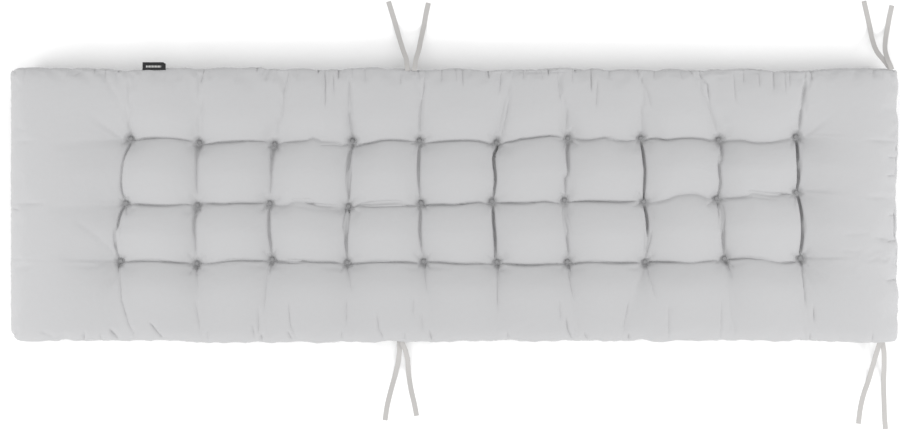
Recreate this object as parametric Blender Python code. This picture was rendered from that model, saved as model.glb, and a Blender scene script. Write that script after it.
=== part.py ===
"""Sun lounger cushion: one filled, tufted pad with its tuft knots, tie tapes and side label.

The pad lies on its back with its length along X, the label side towards +Y and +Z up. The origin
is at the middle of the underside, on the surface that the pad rests on. Lengths are in metres,
and the tables are in millimetres.
"""
import math
from collections import namedtuple

import bmesh
import bpy
import numpy as np
from mathutils import Vector
from mathutils.bvhtree import BVHTree

MM = 0.001

# Driving dimensions of the pad
LENGTH = 1.800
WIDTH = 0.554
WIDEST_LEVEL = 0.036
PIT_LEVEL = 0.040
CREASE_RISE = 0.015
PILLOW_RISE = 0.019
MARGIN_RISE = 0.004
UNEVEN = 0.0015
UNEVEN_ALONG = 2.4
UNEVEN_ACROSS = 1.9
SWELL_SPAN = 0.075
SWELL_ROUNDNESS = 2.1
SWELL_STEEPNESS = 0.90
UNDER_REACH = 0.045
HEM_DIP = 0.0015
HEM_BULGE = 0.0025
SEAT_RADIUS = 0.0098
SEAT_BLEND = 0.010
DIMPLE = 0.012
DIMPLE_RADIUS = 0.028
CHANNEL = 0.005
CHANNEL_RUN = 0.050
FOLD_AT_TUFTS = 0.85
FOLD_AT_SEAM = 0.12
FOLD_FADE = 1.4
GAP = 0.0003

# How far the seam lies inside the outline: on top of the shoulder, or under the widest line where
# it is negative
SEAM_INSET = {"left": 0.0, "right": 0.0020, "front": -0.0006, "back": 0.0030}

# Profile along each side, from the outline inwards over the shoulder: its reach, how gently it
# levels off at the top and how square its shoulder is
Shoulder = namedtuple("Shoulder", "reach ease square")
SHOULDERS = {
    "left": Shoulder(0.110, 2.0, 5.5),
    "right": Shoulder(0.060, 2.2, 6.0),
    "front": Shoulder(0.045, 2.4, 7.0),
    "back": Shoulder(0.100, 2.0, 6.5),
}

# Plan radius of each corner
CORNER_RADIUS = {"left_front": 0.026, "left_back": 0.018, "right_front": 0.009, "right_back": 0.013}

# Tuft knots
KNOT_RADIUS = 0.0052
KNOT_HEIGHT = 0.0030
KNOT_FOOT = 0.0014

# Tie tapes
TAPE_WIDTH = 0.009
TAPE_THICKNESS = 0.0012
TAPE_STEP = 0.012
CURVE_PARTS = 16

# Side label, folded into the back seam
LABEL_LEFT = -0.632
LABEL_RIGHT = -0.585
LABEL_SEAM = 0.2695
LABEL_REACH = 0.0160
LABEL_THICKNESS = 0.0012
LABEL_DROOP = 0.0022
LABEL_CUT = 0.0030
LABEL_CUT_FROM = 0.88

# Where the sewn lines meet, from the left end to the right end, in millimetres. The hems are where
# a column's crease meets the seam. A bow is how far a crease bends to the right between two tufts.
Line = namedtuple(
    "Line",
    "back_hem back_x back_y middle_x middle_y front_x front_y front_hem back_bow front_bow")
LINES = (
    Line(-900, -900, 125, -900, 0, -900, -112, -900, -2, -2),
    Line(-657, -655, 131, -665, 0, -676, -117, -682, -11, -14),
    Line(-515, -516, 123, -520, -4, -521, -122, -509, -7, -7),
    Line(-342, -363, 120, -373, 0, -368, -114, -389, -2, -3),
    Line(-210, -205, 127, -213, -6, -216, -120, -206, -3, -3),
    Line(-60, -69, 127, -66, 1, -61, -118, -46, -4, -4),
    Line(115, 87, 123, 78, 4, 88, -119, 86, 1, 0),
    Line(218, 232, 132, 225, 6, 231, -119, 245, 4, 0),
    Line(379, 380, 132, 386, 3, 389, -119, 338, 5, 5),
    Line(491, 538, 129, 534, 10, 550, -112, 564, 3, 5),
    Line(716, 695, 135, 696, 22, 704, -111, 712, 3, 7),
    Line(900, 900, 125, 900, 10, 900, -108, 900, 1, 1),
)

# How far each crease between two neighbouring tufts bends towards the back, from left to right, in
# millimetres
ROW_BOW = {
    "front": (3, 2, -1, 0, -4, -6, -1, -5, -3),
    "middle": (-2, 2, 1, 1, -5, -4, 0, 11, 0),
    "back": (6, 4, 2, 1, 2, 5, -1, 2, -4),
}

# Where the skin's lines fall across a cell, and in a margin between the shoulder and the seats of
# the tufts
CELL_SHARES = (0.0, 0.05, 0.20, 0.40, 0.60, 0.80, 0.95)
MARGIN_SHARES = (0.38, 0.74, 1.0)
SEAT_STEP = 0.0075
PROFILE_PARTS = 200
EDGE_STEPS = 6
RIM_BLEND = 5

# Each tie tape: the points of its middle line from the seam to the free end, in millimetres. Where
# the two tapes of a pair start over each other, the upper one is about 2 mm higher.
Tape = namedtuple("Tape", "name points")
TAPES = (
    Tape("tie_back_middle_left",
         ((-93, 268, 67.9), (-94, 279, 62.5), (-96, 293, 52), (-103, 313, 34), (-111, 339, 13),
          (-118, 364, 1.5), (-125, 387, 0.8), (-132, 410, 0.8))),
    Tape("tie_back_middle_right",
         ((-79, 268, 67.3), (-78, 279, 62), (-76, 293, 52), (-70, 314, 33.5), (-65, 339, 12.5),
          (-60, 361, 1.5), (-56, 384, 0.8), (-51, 407, 0.8))),
    Tape("tie_back_end_left",
         ((885, 271, 65.4), (880, 279, 61.2), (873, 290, 52), (860, 309, 33), (851, 333, 13),
          (846, 358, 1.5), (840, 385, 0.8), (834, 411, 0.8))),
    Tape("tie_back_end_right",
         ((887, 270.5, 68.4), (884, 280, 64.8), (880, 292, 56.2), (877, 312, 35), (878, 334, 13),
          (882, 357, 1.5), (886, 379, 0.8), (891, 402, 0.8))),
    Tape("tie_front_middle_left",
         ((-110, -278.0, 31), (-110, -289, 27), (-110, -303, 20), (-113, -325, 9), (-119, -351, 1.5),
          (-127, -380, 0.8), (-135, -413, 0.8), (-139, -441, 0.8))),
    Tape("tie_front_middle_right",
         ((-106, -279.8, 33.2), (-102, -289, 29.2), (-97, -301, 22), (-93, -322, 10), (-91, -348, 1.5),
          (-86, -380, 0.8), (-79, -410, 0.8), (-75, -432, 0.8))),
    Tape("tie_front_end_left",
         ((868, -279, 33.2), (864, -290, 28.8), (859, -306, 22), (851, -333, 10), (843, -361, 1.5),
          (834, -387, 0.8), (827, -416, 0.8), (823, -448, 0.8))),
    Tape("tie_front_end_right",
         ((871, -278, 31), (873, -290, 26.3), (875, -306, 20), (875, -335, 9), (874, -366, 1.5),
          (875, -400, 0.8), (876, -432, 0.8), (878, -459, 0.8))),
)

COVER_COLOUR = (0.60, 0.60, 0.61)
KNOT_COLOUR = (0.52, 0.52, 0.53)
TAPE_COLOUR = (0.56, 0.55, 0.53)
LABEL_COLOUR = (0.020, 0.020, 0.022)
CLOTH_ROUGHNESS = 0.85

ROW_NAMES = ("front", "middle", "back")
TOP = 1
UNDER = -1

Station = namedtuple("Station", "patch share swell lift reach")


def smoothstep(value):
    """Ease from 0 to 1, and hold outside."""
    held = min(max(value, 0.0), 1.0)
    return held * held * (3.0 - 2.0 * held)


def swell(distance):
    """How far the filling has risen at this distance from a crease, from 0 to 1."""
    share = min(distance / SWELL_SPAN, 1.0)
    return (1.0 - (1.0 - share) ** SWELL_ROUNDNESS) ** SWELL_STEEPNESS


def clear_scene():
    """Remove what the scene starts with."""
    for thing in list(bpy.data.objects):
        bpy.data.objects.remove(thing, do_unlink=True)


def finish(name, colour):
    """A plain cloth material of one colour."""
    material = bpy.data.materials.new(name)
    material.use_nodes = True
    shader = material.node_tree.nodes["Principled BSDF"]
    shader.inputs["Base Color"].default_value = (*colour, 1.0)
    shader.inputs["Roughness"].default_value = CLOTH_ROUGHNESS
    shader.inputs["Metallic"].default_value = 0.0
    return material


def place(name, mesh_data, material):
    """Link a finished mesh into the scene as one named object."""
    mesh_data.materials.append(material)
    piece = bpy.data.objects.new(name, mesh_data)
    bpy.context.scene.collection.objects.link(piece)
    return piece


def node(column, row):
    """The plan point where a column's line meets a row's, rows counted from the front seam."""
    line = LINES[column]
    side = WIDTH / 2 - HEM_DIP
    if row == 0:
        return Vector((line.front_hem * MM, -side))
    if row == 4:
        return Vector((line.back_hem * MM, side))
    name = ROW_NAMES[row - 1]
    return Vector((getattr(line, name + "_x"), getattr(line, name + "_y"))) * MM


def along_row(column, row, share):
    """A point on a row's line between two columns."""
    start = node(column, row)
    end = node(column + 1, row)
    if row in (0, 4):
        bow = math.copysign(HEM_BULGE, row - 2)
    elif 0 < column < len(LINES) - 2:
        bow = ROW_BOW[ROW_NAMES[row - 1]][column - 1] * MM
    else:
        bow = 0.0
    return start.lerp(end, share) + Vector((0.0, bow * 4 * share * (1 - share)))


def along_column(column, row, share):
    """A point on a column's line between two rows."""
    start = node(column, row)
    end = node(column, row + 1)
    bow = {1: LINES[column].front_bow, 2: LINES[column].back_bow}.get(row, 0.0) * MM
    return start.lerp(end, share) + Vector((bow * 4 * share * (1 - share), 0.0))


def patch_point(column, row):
    """The plan point of two stations, blended from the four lines round their patch."""
    u = column.share
    v = row.share
    c = column.patch
    r = row.patch
    across = along_row(c, r, u).lerp(along_row(c, r + 1, u), v)
    along = along_column(c, r, v).lerp(along_column(c + 1, r, v), u)
    corners = node(c, r).lerp(node(c + 1, r), u).lerp(node(c, r + 1).lerp(node(c + 1, r + 1), u), v)
    return round_corner(across + along - corners)


def round_corner(point):
    """Draw the plan's square corners in to their radius."""
    side = "left" if point.x < 0 else "right"
    end = "front" if point.y < 0 else "back"
    radius = CORNER_RADIUS[side + "_" + end]
    centre = Vector((LENGTH / 2 - radius, WIDTH / 2 - radius))
    past = Vector((abs(point.x), abs(point.y))) - centre
    if past.x <= 0 or past.y <= 0:
        return point
    drawn = centre + past * (max(past.x, past.y) / past.length)
    return Vector((math.copysign(drawn.x, point.x), math.copysign(drawn.y, point.y)))


def margin_profile(side, face):
    """Many points of one side's profile, from the seam to where it is level: insets and lifts."""
    shoulder = SHOULDERS[side]
    turn = np.linspace(0.0, 1.0, PROFILE_PARTS)
    over = shoulder.reach * turn ** 3
    over_lift = (1 - (1 - turn ** 3) ** shoulder.ease) ** (1 / shoulder.square)
    below = UNDER_REACH * (1 - np.cos(turn * math.pi / 2))[:0:-1]
    below_lift = -np.sin(turn * math.pi / 2)[:0:-1]
    inset = np.concatenate((below, over))
    lift = np.concatenate((below_lift, over_lift))
    seam = np.searchsorted(np.concatenate((-below, over)), SEAM_INSET[side])
    if face == TOP:
        return inset[seam:], lift[seam:]
    return inset[seam::-1], lift[seam::-1]


def margin_stations(patch, side, breadth, face, from_rim):
    """The stations of one margin, from the seam inwards or the other way."""
    insets, lifts = margin_profile(side, face)
    steps = np.linspace(0, len(insets) - 1, EDGE_STEPS + 1).round().astype(int)
    found = [(insets[step], lifts[step]) for step in steps]
    level_from = insets[-1]
    for share in MARGIN_SHARES:
        found.append((level_from + (breadth - SEAT_STEP - level_from) * share, float(face)))
    stations = []
    for inset, lift in found:
        share = inset / breadth
        place_along = share if from_rim else 1 - share
        stations.append(Station(patch, place_along, swell(breadth - inset), lift, 1 - share))
    return stations if from_rim else stations[::-1]


def axis_stations(cells, first, last, pitch, face):
    """All the stations along one axis. first and last are each a margin's side and breadth."""
    stations = margin_stations(0, *first, face, True)
    for cell in range(1, cells + 1):
        for share in CELL_SHARES:
            distance = pitch * min(share, 1 - share)
            stations.append(Station(cell, share, swell(distance), float(face), 0.0))
    stations.append(Station(cells, 1.0, 0.0, float(face), 0.0))
    return stations + margin_stations(cells + 1, *last, face, False)


def column_stations(face):
    """The stations along the length."""
    middle_first = LINES[1].middle_x * MM
    middle_last = LINES[-2].middle_x * MM
    cells = len(LINES) - 3
    left = ("left", LENGTH / 2 + middle_first)
    right = ("right", LENGTH / 2 - middle_last)
    return axis_stations(cells, left, right, (middle_last - middle_first) / cells, face)


def row_stations(face):
    """The stations across the width."""
    front_line = sum(line.front_y for line in LINES[1:-1]) / (len(LINES) - 2) * MM
    back_line = sum(line.back_y for line in LINES[1:-1]) / (len(LINES) - 2) * MM
    front = ("front", WIDTH / 2 + front_line)
    back = ("back", WIDTH / 2 - back_line)
    return axis_stations(2, front, back, (back_line - front_line) / 2, face)


def tufts():
    """Each tuft's name and plan point."""
    found = []
    for row, row_name in enumerate(ROW_NAMES, start=1):
        for column in range(1, len(LINES) - 1):
            found.append((row_name + "_" + str(column), node(column, row)))
    return found


TUFT_POINTS = [point for name, point in tufts()]


def tuft_distance(plan):
    """The distance to the nearest tuft."""
    return min((plan - point).length for point in TUFT_POINTS)


def fold_left(reach):
    """How much of a crease is left at this share of the way from the tufts to the seam."""
    return 1.0 if reach <= 0 else FOLD_AT_TUFTS * (1 - reach) ** FOLD_FADE + FOLD_AT_SEAM * reach


def crown(column, row, plan):
    """The height of the upper cloth, away from the rim."""
    across = 1 - (1 - column.swell) * fold_left(row.reach)
    along = 1 - (1 - row.swell) * fold_left(column.reach)
    both = across * along
    rise = CREASE_RISE * (across + along - both) + PILLOW_RISE * both
    reach = max(column.reach, row.reach)
    rise += MARGIN_RISE * smoothstep(reach * 3) * both
    wave = math.sin(UNEVEN_ALONG * column.patch + 1) * math.cos(UNEVEN_ACROSS * row.patch)
    rise += UNEVEN * wave * column.swell * row.swell
    seat = smoothstep((tuft_distance(plan) - SEAT_RADIUS) / SEAT_BLEND)
    return PIT_LEVEL + rise * seat


def hollow(column, row, plan):
    """How far the underside is drawn up at the tufts and beside them."""
    distance = tuft_distance(plan)
    dimple = DIMPLE * (1 - smoothstep((distance - SEAT_RADIUS) / DIMPLE_RADIUS))
    crease = max(1 - column.swell, 1 - row.swell) ** 2
    channel = CHANNEL * crease * (1 - smoothstep(distance / CHANNEL_RUN))
    return max(dimple, channel)


def joined_lift(first, second, face):
    """The lift of two stations together, which is round at the corners."""
    a = first * face
    b = second * face
    return face * (a * b if a > 0 and b > 0 else min(a, b))


def cloth_point(column, row, face):
    """The point of the upper or under cloth at two stations."""
    plan = patch_point(column, row)
    lift = joined_lift(column.lift, row.lift, face)
    if lift >= 0:
        height = WIDEST_LEVEL + lift * (crown(column, row, plan) - WIDEST_LEVEL)
    else:
        height = WIDEST_LEVEL * (1 + lift) + hollow(column, row, plan) * smoothstep(-lift)
    return Vector((plan.x, plan.y, height))


def cloth_grid(face):
    """The points of the upper or under cloth, as an array of column, row and place."""
    rows = row_stations(face)
    return np.array([[cloth_point(column, row, face) for row in rows] for column in column_stations(face)])


def meet_rim(under, upper):
    """Ease the edge of the under cloth onto the rim of the upper cloth."""
    left = np.array([1 - smoothstep(step / RIM_BLEND) for step in range(RIM_BLEND)])[:, None, None]
    for sheet, rim in ((under, upper), (under.transpose(1, 0, 2), upper.transpose(1, 0, 2))):
        first = rim[0] - sheet[0]
        last = rim[-1] - sheet[-1]
        sheet[:RIM_BLEND] += left * first
        sheet[-RIM_BLEND:] += left[::-1] * last


def make_cushion():
    """The pad as one closed skin: two sheets of one grid, sewn together round the rim."""
    places = {face: cloth_grid(face) for face in (TOP, UNDER)}
    meet_rim(places[UNDER], places[TOP])
    last_column, last_row = (size - 1 for size in places[TOP].shape[:2])
    skin = bmesh.new()
    for face in (TOP, UNDER):
        sheet = bmesh.ops.create_grid(skin, x_segments=last_column, y_segments=last_row, size=0.5)
        for vertex in sheet["verts"]:
            i = round((vertex.co.x + 0.5) * last_column)
            j = round((vertex.co.y + 0.5) * last_row)
            vertex.co = places[face][i, j]
        if face == UNDER:
            faces = {touching for vertex in sheet["verts"] for touching in vertex.link_faces}
            bmesh.ops.reverse_faces(skin, faces=list(faces))
    bmesh.ops.remove_doubles(skin, verts=skin.verts, dist=1e-6)
    tree = BVHTree.FromBMesh(skin)
    mesh_data = bpy.data.meshes.new("cushion")
    skin.to_mesh(mesh_data)
    skin.free()
    mesh_data.shade_smooth()
    place("cushion", mesh_data, finish("cover_cloth", COVER_COLOUR))
    return tree


def surface_height(tree, x, y):
    """The height of the upper cloth over a plan point."""
    hit = tree.ray_cast(Vector((x, y, 1.0)), Vector((0.0, 0.0, -1.0)))
    return hit[0].z


def make_knots(tree):
    """A small round knot seated at the bottom of each tuft."""
    material = finish("knot_cloth", KNOT_COLOUR)
    for name, point in tufts():
        knot = bmesh.new()
        bmesh.ops.create_uvsphere(knot, u_segments=8, v_segments=6, radius=1.0)
        for vertex in knot.verts:
            height = KNOT_HEIGHT if vertex.co.z > 0 else KNOT_FOOT
            vertex.co *= Vector((KNOT_RADIUS, KNOT_RADIUS, height))
        middle = surface_height(tree, point.x, point.y) + GAP + KNOT_FOOT
        mesh_data = bpy.data.meshes.new("tuft_button_" + name)
        knot.to_mesh(mesh_data)
        knot.free()
        mesh_data.shade_smooth()
        piece = place("tuft_button_" + name, mesh_data, material)
        piece.location = (point.x, point.y, middle)


def smooth_line(points, step):
    """Points at an even step along a smooth curve through the given points."""
    ends = [points[0] * 2 - points[1]] + points + [points[-1] * 2 - points[-2]]
    dense = []
    for before, start, end, after in zip(ends, ends[1:], ends[2:], ends[3:]):
        for part in range(CURVE_PARTS):
            t = part / CURVE_PARTS
            bend = (before * -1 + start * 3 - end * 3 + after) * t ** 3
            turn = (before * 2 - start * 5 + end * 4 - after) * t ** 2
            dense.append((start * 2 + (end - before) * t + turn + bend) / 2)
    dense.append(points[-1])
    lengths = [0.0]
    for start, end in zip(dense, dense[1:]):
        lengths.append(lengths[-1] + (end - start).length)
    count = max(2, round(lengths[-1] / step))
    line = []
    reached = 0
    for part in range(count + 1):
        wanted = lengths[-1] * part / count
        while reached < len(dense) - 2 and lengths[reached + 1] < wanted:
            reached += 1
        span = lengths[reached + 1] - lengths[reached]
        line.append(dense[reached].lerp(dense[reached + 1], (wanted - lengths[reached]) / span))
    return line


def make_tape(tape, material):
    """One flat tape, swept along its middle line with square ends."""
    line = smooth_line([Vector(point) * MM for point in tape.points], TAPE_STEP)
    lowest = TAPE_THICKNESS / 2 + GAP / 2
    strip = bmesh.new()
    rings = []
    for index, centre in enumerate(line):
        centre.z = max(centre.z, lowest)
        ahead = line[min(index + 1, len(line) - 1)] - line[max(index - 1, 0)]
        across = Vector((-ahead.y, ahead.x, 0.0)).normalized() * (TAPE_WIDTH / 2)
        up = ahead.cross(across).normalized() * (TAPE_THICKNESS / 2)
        corners = (centre - across - up, centre + across - up, centre + across + up, centre - across + up)
        rings.append([strip.verts.new(corner) for corner in corners])
    for ring, following in zip(rings, rings[1:]):
        for corner in range(4):
            turn = (corner + 1) % 4
            strip.faces.new((ring[corner], ring[turn], following[turn], following[corner]))
    strip.faces.new(rings[0][::-1])
    strip.faces.new(rings[-1])
    bmesh.ops.recalc_face_normals(strip, faces=strip.faces)
    mesh_data = bpy.data.meshes.new(tape.name)
    strip.to_mesh(mesh_data)
    strip.free()
    place(tape.name, mesh_data, material)


def make_label(tree):
    """The folded side label, lying out from the back seam with its free corner cut."""
    places = [LABEL_LEFT + (LABEL_RIGHT - LABEL_LEFT) * part / 4 for part in range(5)]
    seam = max(surface_height(tree, x, LABEL_SEAM) for x in places) + GAP * 2
    tag = bmesh.new()
    bmesh.ops.create_grid(tag, x_segments=8, y_segments=4, size=0.5)
    for vertex in tag.verts:
        along = vertex.co.x + 0.5
        out = vertex.co.y + 0.5
        x = LABEL_LEFT + (LABEL_RIGHT - LABEL_LEFT) * along
        y = LABEL_SEAM + LABEL_REACH * out
        y -= LABEL_CUT * smoothstep((along - LABEL_CUT_FROM) / (1 - LABEL_CUT_FROM)) * out
        vertex.co = Vector((x, y, seam - LABEL_DROOP * out * out))
    walls = bmesh.ops.extrude_face_region(tag, geom=tag.faces[:])
    raised = [part for part in walls["geom"] if isinstance(part, bmesh.types.BMVert)]
    bmesh.ops.translate(tag, vec=(0.0, 0.0, LABEL_THICKNESS), verts=raised)
    bmesh.ops.recalc_face_normals(tag, faces=tag.faces)
    mesh_data = bpy.data.meshes.new("label")
    tag.to_mesh(mesh_data)
    tag.free()
    place("label", mesh_data, finish("label_weave", LABEL_COLOUR))


def main():
    """Build the cushion and what is sewn to it."""
    clear_scene()
    tree = make_cushion()
    make_knots(tree)
    tape_cloth = finish("tape_cloth", TAPE_COLOUR)
    for tape in TAPES:
        make_tape(tape, tape_cloth)
    make_label(tree)


main()
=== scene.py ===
"""Sun lounger cushion, dressed: the filled cover with its creases, tuft knots, tie tapes and label.

The cushion lies on its back with its length along X, the label side towards +Y and +Z up, in the
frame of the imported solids. Lengths are in metres, and the tables are in millimetres, but for the
outline, creases and folds, whose places are read from the photograph and kept in its pixels.
"""

import math
import random
from collections import namedtuple

import bmesh
import bpy
import numpy as np
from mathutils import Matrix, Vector
from mathutils.kdtree import KDTree


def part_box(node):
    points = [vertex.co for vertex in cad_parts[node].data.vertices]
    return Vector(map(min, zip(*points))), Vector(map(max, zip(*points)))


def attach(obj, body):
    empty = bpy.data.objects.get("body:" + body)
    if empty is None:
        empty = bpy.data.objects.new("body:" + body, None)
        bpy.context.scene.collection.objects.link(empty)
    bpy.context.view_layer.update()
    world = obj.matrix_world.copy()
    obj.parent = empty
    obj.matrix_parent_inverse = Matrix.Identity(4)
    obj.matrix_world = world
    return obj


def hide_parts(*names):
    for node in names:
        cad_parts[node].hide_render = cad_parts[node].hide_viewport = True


bl_info = {
    "name": "Sun lounger cushion",
    "version": (1, 0, 0),
    "blender": (4, 5, 0),
    "location": "View3D > Sidebar > Lounger cushion",
    "description": "Makes a tufted lounger cushion with its knots, tie tapes and side label",
    "category": "Object",
}

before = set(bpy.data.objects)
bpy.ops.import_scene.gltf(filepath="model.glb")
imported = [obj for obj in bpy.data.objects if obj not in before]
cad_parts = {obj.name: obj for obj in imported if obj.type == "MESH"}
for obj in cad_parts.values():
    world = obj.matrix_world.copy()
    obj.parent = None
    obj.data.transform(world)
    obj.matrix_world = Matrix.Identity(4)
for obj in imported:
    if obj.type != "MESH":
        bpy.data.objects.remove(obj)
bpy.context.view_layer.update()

MM = 0.001
BODY = "root"
SEED = 11

# The photograph's frame, and its scale at the level of the tufts
PHOTO_SIZE = (900, 430)
PHOTO_SCALE = 0.002032
PHOTO_ORIGIN = (453.5, 203.3)
SENSOR_WIDTH = 36.0

# Where the sewn lines meet, from the left end to the right end, in millimetres. The hems are where
# a column's crease meets the seam.
Line = namedtuple("Line", "back_hem back_x back_y middle_x middle_y front_x front_y front_hem")
LINES = (
    Line(-900, -900, 125, -900, 0, -900, -112, -900),
    Line(-657, -655, 131, -665, 0, -676, -117, -682),
    Line(-515, -516, 123, -520, -4, -521, -122, -509),
    Line(-342, -363, 120, -373, 0, -368, -114, -389),
    Line(-210, -205, 127, -213, -6, -216, -120, -206),
    Line(-60, -69, 127, -66, 1, -61, -118, -46),
    Line(115, 87, 123, 78, 4, 88, -119, 86),
    Line(218, 232, 132, 225, 6, 231, -119, 245),
    Line(379, 380, 132, 386, 3, 389, -119, 338),
    Line(491, 538, 129, 534, 10, 550, -112, 564),
    Line(716, 695, 135, 696, 22, 704, -111, 712),
    Line(900, 900, 125, 900, 10, 900, -108, 900),
)
ROW_NAMES = ("front", "middle", "back")
CELLS = len(LINES) - 3

# How far the seam lies inside the outline: on top of the shoulder, or under the widest line where
# it is negative
SEAM_INSET = {"left": 0.0, "right": 0.0020, "front": -0.0006, "back": 0.0012}

# Profile along each side, from the outline inwards over the shoulder: its reach, how gently it
# levels off at the top and how square its shoulder is
Shoulder = namedtuple("Shoulder", "reach ease square")
SHOULDERS = {
    "left": Shoulder(0.140, 1.8, 3.4),
    "right": Shoulder(0.090, 2.0, 4.2),
    "front": Shoulder(0.024, 2.4, 10.0),
    "back": Shoulder(0.070, 2.0, 12.0),
}
UNDER_REACH = 0.045

# How far the filling takes to rise to its full height beside each side's tufts
MARGIN_SPANS = {"left": 0.170, "right": 0.130, "front": 0.075, "back": 0.075}

# The wavy outline of the long sides and of the right end, in the photograph's pixels
BACK_EDGE = (
    (0, 68.4), (18, 68.4), (30, 68.3), (54, 68.5), (78, 68.8), (102, 69.2), (126, 70.8), (138, 70.0),
    (152, 69.1), (174, 68.6), (186, 68.2), (198, 69.8), (210, 69.2), (222, 68.2), (246, 68.1),
    (258, 67.4), (270, 68.8), (282, 69.7), (306, 69.1), (324, 69.9), (342, 69.9), (354, 68.4),
    (378, 67.9), (390, 69.0), (402, 69.3), (414, 70.4), (426, 71.0), (438, 69.9), (456, 69.0),
    (474, 70.1), (486, 70.8), (510, 70.0), (534, 69.6), (546, 69.2), (564, 68.1), (582, 69.7),
    (594, 68.6), (606, 70.4), (618, 70.0), (642, 70.1), (654, 70.6), (666, 69.2), (690, 70.5),
    (702, 70.8), (714, 69.8), (738, 69.4), (750, 69.6), (774, 71.2), (798, 71.2), (810, 71.0),
    (822, 69.8), (846, 69.2), (870, 69.5), (882, 69.0), (900, 69.4))
FRONT_EDGE = (
    (0, 340.6), (18, 340.9), (36, 341.3), (54, 341.1), (66, 340.1), (78, 341.3), (102, 340.5),
    (114, 340.6), (126, 341.4), (138, 341.0), (150, 341.3), (162, 340.7), (174, 341.2), (186, 342.1),
    (198, 343.0), (222, 343.2), (246, 343.1), (258, 342.3), (270, 343.2), (282, 342.9), (300, 342.2),
    (318, 343.7), (330, 343.2), (342, 341.9), (354, 342.3), (372, 343.1), (390, 341.3), (414, 342.2),
    (450, 342.4), (462, 341.4), (486, 341.4), (510, 340.3), (522, 341.8), (534, 342.3), (546, 341.7),
    (570, 340.6), (594, 341.0), (606, 341.8), (630, 341.1), (642, 339.9), (654, 341.9), (666, 342.4),
    (678, 340.9), (702, 341.3), (726, 340.5), (738, 340.5), (762, 341.1), (774, 342.1), (786, 341.9),
    (798, 340.5), (810, 340.9), (834, 342.2), (858, 342.6), (870, 342.2), (900, 341.0))
RIGHT_EDGE = (
    (60, 896.6), (84, 897.6), (109, 896.4), (128, 897.6), (150, 897.2), (170, 896.6), (188, 895.4),
    (200, 894.6), (212, 895.8), (224, 896.4), (236, 895.8), (248, 897.2), (266, 896.6), (279, 896.0),
    (296, 898.0), (320, 897.2), (350, 897.0))

# Plan radius of each corner
CORNER_RADIUS = {"left_front": 0.026, "left_back": 0.018, "right_front": 0.009, "right_back": 0.013}

# Each tie tape: the points of its middle line from the seam to the free end, in millimetres
Tape = namedtuple("Tape", "name points")
TAPES = (
    Tape("tie_back_middle_left",
         ((-93, 268, 67.9), (-94, 279, 62.5), (-96, 293, 52), (-103, 313, 34), (-111, 339, 13),
          (-118, 364, 1.5), (-125, 387, 0.8), (-132, 410, 0.8))),
    Tape("tie_back_middle_right",
         ((-79, 268, 67.3), (-78, 279, 62), (-76, 293, 52), (-70, 314, 33.5), (-65, 339, 12.5),
          (-60, 361, 1.5), (-56, 384, 0.8), (-51, 407, 0.8))),
    Tape("tie_back_end_left",
         ((885, 271, 65.4), (880, 279, 61.2), (873, 290, 52), (860, 309, 33), (851, 333, 13),
          (846, 358, 1.5), (840, 385, 0.8), (834, 411, 0.8))),
    Tape("tie_back_end_right",
         ((887, 270.5, 68.4), (884, 280, 64.8), (880, 292, 56.2), (877, 312, 35), (878, 334, 13),
          (882, 357, 1.5), (886, 379, 0.8), (891, 402, 0.8))),
    Tape("tie_front_middle_left",
         ((-110, -278.0, 31), (-110, -289, 27), (-110, -303, 20), (-113, -325, 9), (-119, -351, 1.5),
          (-127, -380, 0.8), (-135, -413, 0.8), (-139, -441, 0.8))),
    Tape("tie_front_middle_right",
         ((-106, -279.8, 33.2), (-102, -289, 29.2), (-97, -301, 22), (-93, -322, 10), (-91, -348, 1.5),
          (-86, -380, 0.8), (-79, -410, 0.8), (-75, -432, 0.8))),
    Tape("tie_front_end_left",
         ((868, -279, 33.2), (864, -290, 28.8), (859, -306, 22), (851, -333, 10), (843, -361, 1.5),
          (834, -387, 0.8), (827, -416, 0.8), (823, -448, 0.8))),
    Tape("tie_front_end_right",
         ((871, -278, 31), (873, -290, 26.3), (875, -306, 20), (875, -335, 9), (874, -366, 1.5),
          (875, -400, 0.8), (876, -432, 0.8), (878, -459, 0.8))),
)

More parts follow.
